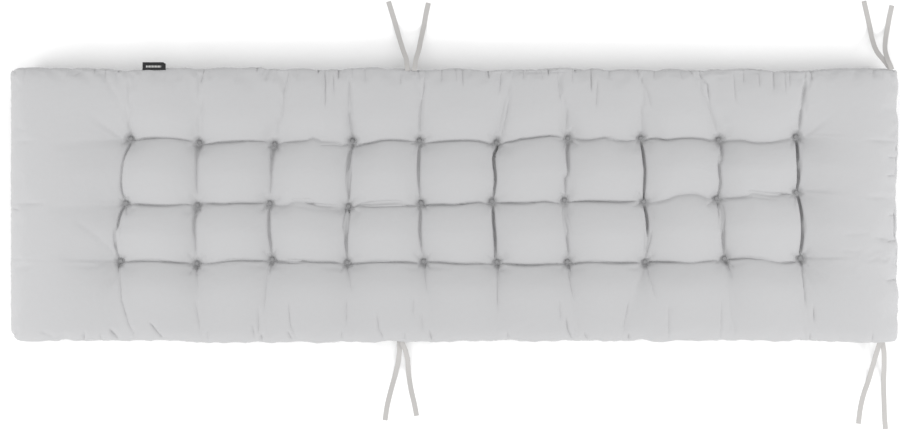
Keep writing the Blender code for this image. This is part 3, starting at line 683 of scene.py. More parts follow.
def margin_lines(patch, side, breadth, count, face, from_rim):
    """The lines of one margin, from the seam inwards or the other way, and its length of cloth."""
    inset, lift = margin_profile(side, breadth, face)
    steps = np.hypot(np.diff(inset), np.diff(lift) * UNDER_REACH)
    run = np.concatenate(((0.0,), np.cumsum(steps)))
    turn = np.arange(count) / count
    place = (turn - MARGIN_CROWDING * np.sin(2 * np.pi * turn) / (2 * np.pi)) * run[-1]
    inset = np.interp(place, run, inset)
    lift = np.interp(place, run, lift)
    share = inset / breadth
    gap = (breadth - inset) * SWELL_SPAN / MARGIN_SPANS[side]
    axis = Axis(np.full(count, patch), share, gap, lift, 1 - share, place)
    if not from_rim:
        axis = axis._replace(share=1 - share, run=run[-1] - place)
        axis = Axis(*(part[::-1] for part in axis))
    return axis, run[-1]


def cell_lines(patch, pitch, count, face):
    """The lines of one cell, crowded towards its creases, without its last."""
    turn = np.arange(count) / count
    share = turn - CROWDING * np.sin(2 * np.pi * turn) / (2 * np.pi)
    gap = pitch * np.minimum(share, 1 - share)
    size = len(share)
    axis = Axis(np.full(size, patch), share, gap, np.full(size, float(face)), np.zeros(size), share * pitch)
    return axis, pitch


def axis_lines(cells, count, first, last, pitch, face):
    """All the lines along one axis. first and last are each a margin's side, breadth and count."""
    parts = [margin_lines(0, *first, face, True)]
    for cell in range(1, cells + 1):
        parts.append(cell_lines(cell, pitch, count, face))
    closing = Axis(*(part[:1] for part in parts[-1][0]))
    parts.append((closing._replace(share=np.ones(1)), 0.0))
    parts.append(margin_lines(cells + 1, *last, face, False))
    placed = []
    reached = 0.0
    for axis, length in parts:
        placed.append(axis._replace(run=axis.run + reached))
        reached += length
    joined = Axis(*(np.concatenate([getattr(axis, name) for axis in placed]) for name in Axis._fields))
    return joined._replace(run=joined.run / reached - 0.5)


def column_lines(sizes, face):
    """The lines along the length."""
    start = LINES[1].middle_x * MM
    stop = LINES[-2].middle_x * MM
    left = ("left", sizes.length / 2 + start, LEFT_LINES)
    right = ("right", sizes.length / 2 - stop, RIGHT_LINES)
    return axis_lines(CELLS, CELL_LINES, left, right, (stop - start) / CELLS, face)


def row_lines(sizes, face):
    """The lines across the width."""
    inner = LINES[1:-1]
    start = sum(line.front_y for line in inner) / len(inner) * MM
    stop = sum(line.back_y for line in inner) / len(inner) * MM
    front = ("front", sizes.width / 2 + start, SIDE_LINES)
    back = ("back", sizes.width / 2 - stop, SIDE_LINES)
    return axis_lines(2, ROW_CELL_LINES, front, back, (stop - start) / 2, face)


def wavy(edge, places):
    """The outline's value at each place, eased between the points of its table."""
    table = np.array(edge)
    after = np.clip(np.searchsorted(table[:, 0], places), 1, len(table) - 1)
    start, stop = table[after - 1], table[after]
    share = smoothstep((places - start[:, 0]) / (stop[:, 0] - start[:, 0]))
    return start[:, 1] + (stop[:, 1] - start[:, 1]) * share


def row_corners(points, edge):
    """The points where the columns' lines meet a long side, moved onto its wavy outline."""
    moved = points.copy()
    pixels = points[:, 0] / PHOTO_SCALE + PHOTO_ORIGIN[0]
    moved[:, 1] = (PHOTO_ORIGIN[1] - wavy(edge, pixels)) * PHOTO_SCALE
    return moved


def course(start, stop, shares):
    """How far the creases between two tufts stray from the straight line, at each share of the way."""
    length = np.linalg.norm(stop - start)
    way = (stop - start) / length
    aside = np.array((-way[1], way[0]))
    samples = np.linspace(0.0, 1.0, COURSE_PARTS)
    weights = np.zeros(COURSE_PARTS)
    strays = np.zeros(COURSE_PARTS)
    for crease in CREASES:
        points = np.array([photo_point(pixel) for pixel in crease.points]) - start
        along = points @ way / length
        away = points @ aside
        crosses = abs(along[-1] - along[0]) * length < abs(away[-1] - away[0])
        beyond = along.min() < -COURSE_ENDS or along.max() > 1 + COURSE_ENDS
        if crosses or beyond or abs(away.mean()) > COURSE_REACH:
            continue
        order = np.argsort(along)
        inside = (samples >= along.min()) & (samples <= along.max())
        weight = crease.depth * inside
        strays += weight * np.interp(samples, along[order], away[order])
        weights += weight
    known = weights > 0
    known[[0, -1]] = True
    strays = np.where(weights > 0, strays / np.maximum(weights, 1e-9), 0.0)
    strays[[0, -1]] = 0.0
    strays = np.interp(samples, samples[known], strays[known])
    strays[1:-1] = (strays[:-2] + 2 * strays[1:-1] + strays[2:]) / 4
    return np.interp(shares, samples, strays)[:, None] * aside


def plan_grid(sizes, columns, rows):
    """The plan point of each pair of lines, blended from the four lines round its patch."""
    points = knots_plan(sizes)
    u = columns.share[:, None]
    v = rows.share[:, None]
    c = columns.patch
    r = rows.patch
    row_curves = []
    for row in range(5):
        curve = points[c, row] * (1 - u) + points[c + 1, row] * u
        if row in (0, 4):
            edge = FRONT_EDGE if row == 0 else BACK_EDGE
            pixels = curve[:, 0] / PHOTO_SCALE + PHOTO_ORIGIN[0]
            curve[:, 1] = (PHOTO_ORIGIN[1] - wavy(edge, pixels)) * PHOTO_SCALE
        else:
            for cell in range(1, CELLS + 1):
                own = c == cell
                curve[own] += course(points[cell, row], points[cell + 1, row], u[own, 0])
        row_curves.append(curve)
    points[:, 0] = row_corners(points[:, 0], FRONT_EDGE)
    points[:, 4] = row_corners(points[:, 4], BACK_EDGE)
    row_curves = np.array(row_curves)
    column_curves = []
    for column in range(len(LINES)):
        curve = points[column, r] * (1 - v) + points[column, r + 1] * v
        if 0 < column < len(LINES) - 1:
            for cell in (1, 2):
                own = r == cell
                curve[own] += course(points[column, cell], points[column, cell + 1], v[own, 0])
        elif column:
            pixels = PHOTO_ORIGIN[1] - curve[:, 1] / PHOTO_SCALE
            curve[:, 0] = (wavy(RIGHT_EDGE, pixels) - PHOTO_ORIGIN[0]) * PHOTO_SCALE
        column_curves.append(curve)
    column_curves = np.array(column_curves)
    u = u[:, :, None]
    v = v[None, :, :]
    across = row_curves[r].transpose(1, 0, 2) * (1 - v) + row_curves[r + 1].transpose(1, 0, 2) * v
    along = column_curves[c] * (1 - u) + column_curves[c + 1] * u
    low = points[c][:, r] * (1 - u) + points[c + 1][:, r] * u
    high = points[c][:, r + 1] * (1 - u) + points[c + 1][:, r + 1] * u
    return round_corners(sizes, across + along - (low * (1 - v) + high * v))


def round_corners(sizes, plan):
    """Draw the plan's square corners in to their radius."""
    half = np.array((sizes.length / 2, sizes.width / 2))
    for corner, radius in CORNER_RADIUS.items():
        side, end = corner.split("_")
        sign = np.array((-1.0 if side == "left" else 1.0, -1.0 if end == "front" else 1.0))
        past = plan * sign - (half - radius)
        inside = (past > 0).all(axis=2)
        length = np.maximum(np.linalg.norm(past, axis=2), 1e-9)
        drawn = (half - radius + past * (past.max(axis=2) / length)[..., None]) * sign
        plan = np.where(inside[..., None], drawn, plan)
    return plan


def tuft_points(sizes):
    """The plan point of each tuft, by name."""
    points = knots_plan(sizes)
    return {row_name + "_" + str(column): points[column, row]
            for row, row_name in enumerate(ROW_NAMES, start=1)
            for column in range(1, len(LINES) - 1)}


def tuft_distance(sizes, plan):
    """The distance of each plan point to its nearest tuft."""
    distance = np.full(plan.shape[:2], np.inf)
    for point in tuft_points(sizes).values():
        distance = np.minimum(distance, np.linalg.norm(plan - point, axis=2))
    return distance


def fold_left(reach, fade, at_seam):
    """How much of a crease is left at this share of the way from the tufts to the seam."""
    out = np.clip(reach, 0.0, 1.0)
    return np.where(out <= 0, 1.0, FOLD_AT_TUFTS * (1 - out) ** fade + at_seam * out)


def softened(gap, radius):
    """The filling's swell at this gap from a crease whose bottom is rounded to this radius."""
    return swell(np.hypot(gap, radius) - radius)


def crown(sizes, columns, rows, plan):
    """The height of the upper cloth, away from the rim."""
    swell_u = softened(columns.gap[:, None], rows.reach[None] * SOFTENED)
    swell_v = softened(rows.gap[None], columns.reach[:, None] * END_SOFTENED)
    across = 1 - (1 - swell_u) * fold_left(rows.reach, FOLD_FADE, FOLD_AT_SEAM)[None]
    along = 1 - (1 - swell_v) * fold_left(columns.reach, END_FOLD_FADE, END_FOLD_AT_SEAM)[:, None]
    both = across * along
    rise = sizes.crease_rise * (across + along - both) + sizes.pillow_rise * both
    reach = np.maximum(columns.reach[:, None], rows.reach[None])
    rise += MARGIN_RISE * smoothstep(reach * 3) * both
    wave = (np.sin(UNEVEN_ALONG * columns.patch + 1)[:, None]
            * np.cos(UNEVEN_ACROSS * rows.patch)[None])
    rise += UNEVEN * wave * swell_u * swell_v * (1 - smoothstep(columns.reach * UNEVEN_FADE))[:, None]
    seat = smoothstep((tuft_distance(sizes, plan) - SEAT_RADIUS) / SEAT_BLEND)
    return sizes.pit_level + rise * seat


def hollow(sizes, plan):
    """How far the underside is drawn up at the tufts."""
    distance = tuft_distance(sizes, plan)
    return DIMPLE * (1 - smoothstep((distance - SEAT_RADIUS) / DIMPLE_RADIUS))


def flat_grid(sizes, columns, rows, face):
    """Each point's place on the cloth laid flat, and 1 for the upper cloth, 0 for the under cloth."""
    along = columns.run * (sizes.length + CLOTH_OVER)
    across = rows.run * (sizes.width + CLOTH_OVER)
    flat = np.zeros((len(along), len(across), 3))
    flat[..., 0] = along[:, None]
    flat[..., 1] = across[None]
    flat[..., 2] = 1.0 if face == TOP else 0.0
    flat[[0, -1], :, 2] = 0.5
    flat[:, [0, -1], 2] = 0.5
    return flat


def cloth_grid(sizes, columns, rows, face):
    """The points of the upper or under cloth, as an array of column, row and place."""
    plan = plan_grid(sizes, columns, rows)
    a = columns.lift[:, None] * face
    b = rows.lift[None] * face
    lift = face * np.where((a > 0) & (b > 0), a * b, np.minimum(a, b))
    top = crown(sizes, columns, rows, plan)
    level = sizes.widest_level
    raised = level + lift * (top - level)
    lowered = level * (1 + lift) + hollow(sizes, plan) * smoothstep(-lift)
    return np.dstack((plan, np.where(lift >= 0, raised, lowered)))


def meet_rim(under, upper):
    """Ease the edge of the under cloth onto the rim of the upper cloth."""
    eased = under.copy()
    blend = 1 - smoothstep(np.arange(RIM_BLEND) / RIM_BLEND)
    for turned in (eased, eased.transpose(1, 0, 2)):
        rim = upper if turned is eased else upper.transpose(1, 0, 2)
        first = rim[0] - turned[0]
        last = rim[-1] - turned[-1]
        turned[:RIM_BLEND] += blend[:, None, None] * first
        turned[-RIM_BLEND:] += blend[::-1, None, None] * last
    return eased


# One fold to press: its line, the depth at each of its points, its breadth and lean, and whether the
# line lies on the cloth laid flat or on the plan
Press = namedtuple("Press", "line depths breadth lean on_flat")
TAPER_SHARES = np.array((0.0, 0.1, 0.25, 0.5, 0.75, 0.9, 1.0))


def tapered(line, depth, breadth, lean, on_flat):
    """A fold that fades at both ends."""
    line = np.asarray(line)
    lengths = np.concatenate(((0.0,), np.cumsum(np.linalg.norm(np.diff(line, axis=0), axis=1))))
    shares = np.unique(np.concatenate((TAPER_SHARES, lengths / lengths[-1])))
    points = np.stack([np.interp(shares * lengths[-1], lengths, line[:, axis]) for axis in (0, 1)], axis=1)
    left = (smoothstep(shares / TAPER_SPAN + TAPER_START)
            * smoothstep((1 - shares) / TAPER_SPAN + TAPER_START))
    return Press(points, depth * left, breadth, lean, on_flat)


def near_line(points, line, reach):
    """The points within reach of a line, with each one's distance, place along it, side and way."""
    low = line.min(axis=0) - reach
    high = line.max(axis=0) + reach
    near = np.nonzero(((points > low) & (points < high)).all(axis=1))[0]
    points = points[near]
    distance = np.full(len(near), np.inf)
    place = np.zeros(len(near))
    side = np.zeros(len(near))
    way = np.zeros((len(near), 2))
    for index, (start, step) in enumerate(zip(line, np.diff(line, axis=0))):
        length = max(np.linalg.norm(step), 1e-9)
        offset = points - start
        share = np.clip(offset @ step / length ** 2, 0.0, 1.0)
        away = offset - share[:, None] * step
        apart = np.hypot(away[:, 0], away[:, 1])
        closer = apart < distance
        distance[closer] = apart[closer]
        place[closer] = index + share[closer]
        side[closer] = np.sign(step[0] * away[closer, 1] - step[1] * away[closer, 0])
        way[closer] = step / length
    return near, distance, place, side, way


def rim_puckers(sizes, chance):
    """Short folds that run in from the seam, all round, on the cloth laid flat."""
    half = np.array((sizes.length + CLOTH_OVER, sizes.width + CLOTH_OVER)) / 2
    found = []
    for side in (np.array((0.0, 1.0)), np.array((0.0, -1.0)), np.array((1.0, 0.0)), np.array((-1.0, 0.0))):
        run = np.array((abs(side[1]), abs(side[0])))
        span = float(run @ half)
        place = -span + PUCKER_CORNER
        while place < span - PUCKER_CORNER:
            start = run * place + side * half
            slant = run * chance.uniform(-0.35, 0.35)
            length = chance.uniform(0.014, 0.040)
            depth = sizes.pucker_depth * chance.uniform(0.5, 1.6) ** 2 * (1 - END_CALM * abs(side[0]))
            found.append(tapered((start + side * PUCKER_OVERRUN, start + (slant - side) * length), depth,
                                 chance.uniform(0.0015, 0.0034), chance.uniform(-0.5, 0.5), True))
            place += chance.uniform(0.010, 0.050) * (1 + abs(side[0]))
    return found


def tuft_gathers(sizes, chance):
    """The small folds that run out from each tuft."""
    found = []
    for point in tuft_points(sizes).values():
        count = chance.randint(5, 8)
        turn = chance.uniform(0, math.tau)
        for part in range(count):
            angle = turn + math.tau * (part + chance.uniform(-0.35, 0.35)) / count
            way = np.array((math.cos(angle), math.sin(angle)))
            line = (point + way * 0.002, point + way * chance.uniform(0.014, 0.028))
            depth = sizes.gather_depth * chance.uniform(0.3, 1.2)
            found.append(tapered(line, depth, chance.uniform(0.0016, 0.0026), 0.0, False))
    return found


def all_presses(sizes, face):
    """Every fold of the upper or under cloth."""
    chance = random.Random(SEED + face)
    half_x = (sizes.length + CLOTH_OVER) / 2
    half_y = (sizes.width + CLOTH_OVER) / 2
    rim = np.array(((-half_x, -half_y), (half_x, -half_y), (half_x, half_y), (-half_x, half_y),
                    (-half_x, -half_y)))
    found = [Press(rim, np.full(5, SEAM_DEPTH), SEAM_BREADTH, 0.0, True)]
    found += rim_puckers(sizes, chance)
    if face == TOP:
        for fold in FOLDS:
            line = [photo_point(pixel) for pixel in fold.points]
            found.append(tapered(line, fold.depth * MM, fold.breadth * MM, fold.lean, False))
        for crease in CREASES:
            line = np.array([photo_point(pixel) for pixel in crease.points])
            depths = np.array([pixel[2] for pixel in crease.points]) * crease.depth * MM
            found.append(Press(line, depths, crease.breadth * MM, 0.0, False))
        found += tuft_gathers(sizes, chance)
    return found


def press_depths(places, flats, presses):
    """How deep every fold is pressed at each vertex."""
    depths = np.zeros(len(places))
    upper = flats[:, 2] >= 0.5
    for face in (TOP, UNDER):
        own = np.nonzero(upper == (face == TOP))[0]
        for press in presses[face]:
            points = (flats if press.on_flat else places)[own, :2]
            near, distance, place, side, way = near_line(
                points, press.line, press.breadth * PRESS_REACH)
            depth = np.interp(place, np.arange(len(press.depths)), press.depths)
            opened = NARROWEST + (1 - NARROWEST) * depth / press.depths.max()
            spread = press.breadth * opened * (1 + LEAN_SHARE * press.lean * side)
            rounded = max(press.breadth - CRISP_BREADTH, 0.0)
            pressed = depth * np.exp(-(np.hypot(distance, rounded) - rounded) / spread)
            depths[own[near]] = np.hypot(depths[own[near]], pressed)
    return depths


def sewn_skin(grids, flats):
    """The upper and under cloth as two sheets sewn round the rim, the under one on every second line."""
    skin = bmesh.new()
    layer = skin.verts.layers.float_vector.new("flat")
    size_x, size_y = grids[TOP].shape[:2]
    for face in (UNDER, TOP):
        thinned = 2 if face == UNDER else 1
        before = set(skin.verts)
        sheet = bmesh.ops.create_grid(skin, x_segments=(size_x - 1) // thinned,
                                      y_segments=(size_y - 1) // thinned, size=0.5)
        if face == UNDER:
            rim = [edge for edge in skin.edges if edge.is_boundary]
            bmesh.ops.subdivide_edges(skin, edges=rim, cuts=1)
            verts = list(skin.verts)
            bmesh.ops.reverse_faces(skin, faces=skin.faces)
        else:
            verts = [vertex for vertex in sheet["verts"] if vertex not in before]
        for vertex in verts:
            i = round((vertex.co.x + 0.5) * (size_x - 1))
            j = round((vertex.co.y + 0.5) * (size_y - 1))
            on_rim = i in (0, size_x - 1) or j in (0, size_y - 1)
            vertex.co = grids[TOP if on_rim else face][i, j]
            vertex[layer] = flats[face][i, j]
    bmesh.ops.remove_doubles(skin, verts=skin.verts, dist=1e-6)
    return skin


def split_across(skin, presses):
    """Split the edges that cross a fold, until each fold has enough points across it."""
    layer = skin.verts.layers.float_vector["flat"]
    for turn in range(SPLITS):
        skin.verts.index_update()
        verts = np.array([(vertex.co.x, vertex.co.y, *vertex[layer]) for vertex in skin.verts])
        edges = list(skin.edges)
        ends = np.array([(edge.verts[0].index, edge.verts[1].index) for edge in edges])
        middle = (verts[ends[:, 0]] + verts[ends[:, 1]]) / 2
        steps = verts[ends[:, 1]] - verts[ends[:, 0]]
        wanted = np.zeros(len(edges), dtype=bool)
        upper = middle[:, 4] > 0.5
        for face in (TOP, UNDER):
            own = np.nonzero(upper == (face == TOP))[0]
            for press in presses[face]:
                axes = slice(2, 4) if press.on_flat else slice(0, 2)
                near, distance, place, side, way = near_line(
                    middle[own, axes], press.line, press.breadth * SPLIT_REACH)
                step = steps[own[near], axes]
                crossing = np.abs(step[:, 0] * way[:, 1] - step[:, 1] * way[:, 0])
                spread = 1 + SPLIT_SPREAD * distance / press.breadth
                fine = max(FINEST, press.breadth * SPLIT_SHARE) * spread
                wanted[own[near[crossing > fine * SPLIT_SLACK]]] = True
        chosen = [edges[index] for index in np.nonzero(wanted)[0]]
        bmesh.ops.subdivide_edges(skin, edges=chosen, cuts=1, use_grid_fill=True)


def finished_mesh(name, skin):
    """A mesh from the skin, with its vertices' places and their places on the flat cloth."""
    mesh_data = baked(name, skin)
    mesh_data.shade_smooth()
    flats = np.zeros(len(mesh_data.vertices) * 3)
    mesh_data.attributes["flat"].data.foreach_get("vector", flats)
    mesh_data.attributes.remove(mesh_data.attributes["flat"])
    return mesh_data, vertex_places(mesh_data), flats.reshape(-1, 3)


def baked(name, form):
    """A mesh from a bmesh, which is freed."""
    mesh_data = bpy.data.meshes.new(name)
    form.to_mesh(mesh_data)
    form.free()
    return mesh_data


class Link:
    """One output socket of a material, with Python's operators for shader maths."""

    def __init__(self, tree, socket):
        self.tree = tree
        self.socket = socket

    def node(self, kind, settings, values, output=0):
        """A new node of this type, with its settings set first and then its sockets' values or links."""
        made = self.tree.nodes.new(kind)
        for name, value in settings.items():
            setattr(made, name, value)
        for name, value in values.items():
            socket = made.inputs[name]
            if isinstance(value, Link):
                self.tree.links.new(value.socket, socket)
            else:
                socket.default_value = value
        return Link(self.tree, made.outputs[output])

    def maths(self, operation, first, second):
        """One Math node."""
        return self.node("ShaderNodeMath", {"operation": operation}, {0: first, 1: second})

    def __add__(self, other):
        return self.maths("ADD", self, other)

    __radd__ = __add__

    def __sub__(self, other):
        return self.maths("SUBTRACT", self, other)

    def __rsub__(self, other):
        return self.maths("SUBTRACT", other, self)

    def __mul__(self, other):
        return self.maths("MULTIPLY", self, other)

    __rmul__ = __mul__


def new_finish(name):
    """A material with its shader, and a link to start its nodes from."""
    material = bpy.data.materials.new(name)
    material.use_nodes = True
    tree = material.node_tree
    shader = tree.nodes["Principled BSDF"]
    return material, shader, Link(tree, None)


def feed(start, shader, name, link):
    """Link a value to one of the shader's sockets."""
    start.tree.links.new(link.socket, shader.inputs[name])


# Heights of the weave, the slubs and the crinkles, and the scales of the crinkles and blotches
WEAVE_HEIGHT = 0.00004
SLUB_HEIGHT = 0.00006
CRINKLE_HEIGHT = 0.0011
CRINKLE_SCALE = 55.0
BLOTCH_SCALE = 4.0
SLUB_ROUGHNESS = 0.12


def cloth_axes(start):
    """A piece's cloth coordinates, as one vector and as its two parts."""
    place = start.node("ShaderNodeUVMap", {"uv_map": "cloth"}, {})
    along = start.node("ShaderNodeSeparateXYZ", {}, {"Vector": place})
    return place, along, Link(along.tree, along.socket.node.outputs["Y"])


def weave(start, along, across, thread):
    """The rise and fall of two crossing sets of threads, from -1 to 1."""
    warp = start.node("ShaderNodeMath", {"operation": "SINE"}, {0: along * (math.tau / thread)})
    weft = start.node("ShaderNodeMath", {"operation": "SINE"}, {0: across * (math.tau / thread)})
    return warp * weft


def cloth_finish(name, colour, thread, roughness, sheen, uneven):
    """Plain-woven cloth: two sets of threads, slubs, soft crinkles and a little change of colour."""
    material, shader, start = new_finish(name)
    shader.inputs["Sheen Weight"].default_value = sheen
    shader.inputs["Sheen Roughness"].default_value = 0.6
    shader.inputs["Specular IOR Level"].default_value = 0.25
    place, along, across = cloth_axes(start)
    slub = start.node("ShaderNodeTexNoise", {"noise_dimensions": "3D"},
                      {"Vector": place, "Scale": 0.35 / thread, "Detail": 2.0, "Roughness": 0.6})
    crinkle = start.node("ShaderNodeTexNoise", {"noise_dimensions": "3D"},
                         {"Vector": place, "Scale": CRINKLE_SCALE, "Detail": 4.0, "Roughness": 0.55})
    blotch = start.node("ShaderNodeTexNoise", {"noise_dimensions": "3D"},
                        {"Vector": place, "Scale": BLOTCH_SCALE, "Detail": 3.0, "Roughness": 0.5})
    light = tuple(min(1.0, part * (1 + uneven)) for part in colour) + (1.0,)
    dark = tuple(part * (1 - uneven) for part in colour) + (1.0,)
    mixed = start.node("ShaderNodeMix", {"data_type": "RGBA"},
                       {"Factor": (blotch + slub) * 0.5, "A": dark, "B": light}, "Result")
    feed(start, shader, "Base Color", mixed)
    feed(start, shader, "Roughness", slub * SLUB_ROUGHNESS + (roughness - SLUB_ROUGHNESS / 2))
    height = weave(start, along, across, thread) * WEAVE_HEIGHT + slub * SLUB_HEIGHT
    bumped = start.node("ShaderNodeBump", {}, {"Strength": 0.6, "Distance": 1.0,
                                               "Height": height + crinkle * CRINKLE_HEIGHT})
    feed(start, shader, "Normal", bumped)
    return material


# The label's row of dashes: their pitch, the share of it left bare and the row's limits, and its weave
DASH_PITCH = 0.0030
DASH_GAP = 0.45
DASH_ROW = (0.0052, 0.0092)
DASH_SPAN = (0.0060, 0.0378)
DASH_HEIGHT = 0.0001
LABEL_THREAD = 0.0005


def label_finish(sizes):
    """Black satin-woven tape with a row of plain pale dashes."""
    material, shader, start = new_finish("label_weave")
    shader.inputs["Specular IOR Level"].default_value = 0.15
    place, along, across = cloth_axes(start)
    bars = start.node("ShaderNodeMath", {"operation": "FRACT"}, {0: along * (1 / DASH_PITCH)})
    mask = bars.maths("GREATER_THAN", bars, DASH_GAP)
    for axis, (low, high) in ((across, DASH_ROW), (along, DASH_SPAN)):
        mask = mask * axis.maths("GREATER_THAN", axis, low) * axis.maths("LESS_THAN", axis, high)
    ground = (*sizes.label_colour, 1.0)
    motif = (*sizes.motif_colour, 1.0)
    mixed = start.node("ShaderNodeMix", {"data_type": "RGBA"},
                       {"Factor": mask, "A": ground, "B": motif}, "Result")
    feed(start, shader, "Base Color", mixed)
    feed(start, shader, "Roughness", mask * 0.1 + 0.75)
    height = weave(start, along, across, LABEL_THREAD) * WEAVE_HEIGHT + mask * DASH_HEIGHT
    bumped = start.node("ShaderNodeBump", {}, {"Strength": 0.6, "Distance": 1.0, "Height": height})
    feed(start, shader, "Normal", bumped)
    return material


def floor_finish():
    """A pale, even studio floor with the faintest mottling."""
    material, shader, start = new_finish("studio_floor")
    place = start.node("ShaderNodeTexCoord", {}, {}, "Object")
    mottle = start.node("ShaderNodeTexNoise", {}, {"Vector": place, "Scale": 1.5, "Detail": 2.0})
    mixed = start.node("ShaderNodeMix", {"data_type": "RGBA"},
                       {"Factor": mottle, "A": (0.72, 0.72, 0.72, 1.0), "B": (0.74, 0.74, 0.74, 1.0)},
                       "Result")
    feed(start, shader, "Base Color", mixed)
    shader.inputs["Roughness"].default_value = 0.9
    return material


def show(name, mesh_data, material):
    """Link a finished mesh into the scene as one named piece with its material."""
    mesh_data.materials.append(material)
    piece = bpy.data.objects.new(name, mesh_data)
    bpy.context.scene.collection.objects.link(piece)
    return piece


def declare(piece, node):
    """Hang a piece on its body and hide the solid that it replaces."""
    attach(piece, BODY)
    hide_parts(node)


def lay_flat(mesh_data, coordinates):
    """Give a mesh its cloth coordinates, one pair of metres for each vertex."""
    layer = mesh_data.uv_layers.new(name="cloth")
    corners = np.zeros(len(mesh_data.loops), dtype=np.int32)
    mesh_data.loops.foreach_get("vertex_index", corners)
    layer.data.foreach_set("uv", coordinates[corners].astype(np.float32).ravel())


def vertex_places(mesh_data):
    """The vertices of a mesh, as an array."""
    places = np.zeros(len(mesh_data.vertices) * 3)
    mesh_data.vertices.foreach_get("co", places)
    return places.reshape(-1, 3)


# The pressure that fills the cover: its steps, its strength, the cloth's slack, how far a point may
# move, the share of its way that is kept and what is held
FILL_FRAMES = 20
FILL_PRESSURE = 4.0
FILL_SLACK = 0.03
FILL_LIMIT = 0.006
FILL_SHARE = 0.6
HELD_LEVEL = 0.004
HELD_ROUND_SEAT = 0.003


def between(values):
    """Values along the first axis with a smooth one added between each two."""
    padded = np.concatenate((2 * values[:1] - values[1:2], values, 2 * values[-1:] - values[-2:-1]))
    middle = (9 * (padded[1:-2] + padded[2:-1]) - padded[:-3] - padded[3:]) / 16
    full = np.zeros((2 * len(values) - 1,) + values.shape[1:])
    full[::2] = values
    full[1::2] = middle
    return full


def skin_mesh(name, grids):
    """A closed mesh of the upper and under cloth, two sheets of one grid sewn round the rim."""
    skin = bmesh.new()
    size_x, size_y = grids[TOP].shape[:2]
    for face in (TOP, UNDER):
        sheet = bmesh.ops.create_grid(skin, x_segments=size_x - 1, y_segments=size_y - 1, size=0.5)
        for vertex in sheet["verts"]:
            i = round((vertex.co.x + 0.5) * (size_x - 1))
            j = round((vertex.co.y + 0.5) * (size_y - 1))
            on_rim = i in (0, size_x - 1) or j in (0, size_y - 1)
            vertex.co = grids[TOP if on_rim else face][i, j]
        if face == UNDER:
            faces = {touching for vertex in sheet["verts"] for touching in vertex.link_faces}
            bmesh.ops.reverse_faces(skin, faces=list(faces))
    bmesh.ops.remove_doubles(skin, verts=skin.verts, dist=1e-6)
    return baked(name, skin)


def fill_with_pressure(sizes, grids):
    """How far the filling pushes each cloth point: cloth simulated on every second line."""
    coarse = {face: grid[::2, ::2] for face, grid in grids.items()}
    mesh_data = skin_mesh("filling", coarse)
    piece = bpy.data.objects.new("filling", mesh_data)
    bpy.context.scene.collection.objects.link(piece)
    places = vertex_places(mesh_data)
    flat = places[:, None, :2]
    tuft = tuft_distance(sizes, flat)[:, 0]
    size_x, size_y = coarse[TOP].shape[:2]
    index = {}
    for face in (TOP, UNDER):
        flat_places = coarse[face].reshape(-1, 3)
        index[face] = nearest_index(places, flat_places).reshape(size_x, size_y)
    held = np.zeros(len(places))
    rim = np.zeros((size_x, size_y), dtype=bool)
    rim[[0, -1], :] = True
    rim[:, [0, -1]] = True
    held[index[TOP][rim]] = 1.0
    held[places[:, 2] < HELD_LEVEL] = 1.0
    held[tuft < SEAT_RADIUS + HELD_ROUND_SEAT] = 1.0
    group = piece.vertex_groups.new(name="held")
    for vertex in np.nonzero(held)[0]:
        group.add([int(vertex)], 1.0, "REPLACE")
    cloth = piece.modifiers.new("filling", "CLOTH")
    settings = cloth.settings
    settings.quality = 5
    settings.mass = 0.2
    settings.tension_stiffness = 15
    settings.compression_stiffness = 8
    settings.shear_stiffness = 5
    settings.bending_stiffness = 0.05
    settings.use_pressure = True
    settings.uniform_pressure_force = FILL_PRESSURE
    settings.effector_weights.gravity = 0
    settings.vertex_group_mass = "held"
    settings.shrink_min = -FILL_SLACK
    cloth.collision_settings.use_collision = False
    cloth.point_cache.frame_start = 1
    cloth.point_cache.frame_end = FILL_FRAMES
    scene = bpy.context.scene
    for step in range(1, FILL_FRAMES + 1):
        scene.frame_set(step)
    settled = vertex_places(piece.evaluated_get(bpy.context.evaluated_depsgraph_get()).data)
    push = settled - places
    size = np.linalg.norm(push, axis=1, keepdims=True)
    push *= FILL_SHARE * FILL_LIMIT * np.tanh(size / FILL_LIMIT) / np.maximum(size, 1e-9)
    scene.frame_set(1)
    bpy.data.objects.remove(piece, do_unlink=True)
    pushed = {}
    for face in (TOP, UNDER):
        grid = push[index[face]]
        pushed[face] = between(between(grid).transpose(1, 0, 2)).transpose(1, 0, 2)
    return pushed


def nearest_index(places, wanted):
    """The index of the vertex at each wanted place."""
    tree = KDTree(len(places))
    for index, place in enumerate(places):
        tree.insert(place, index)
    tree.balance()
    return np.array([tree.find(place)[1] for place in wanted])


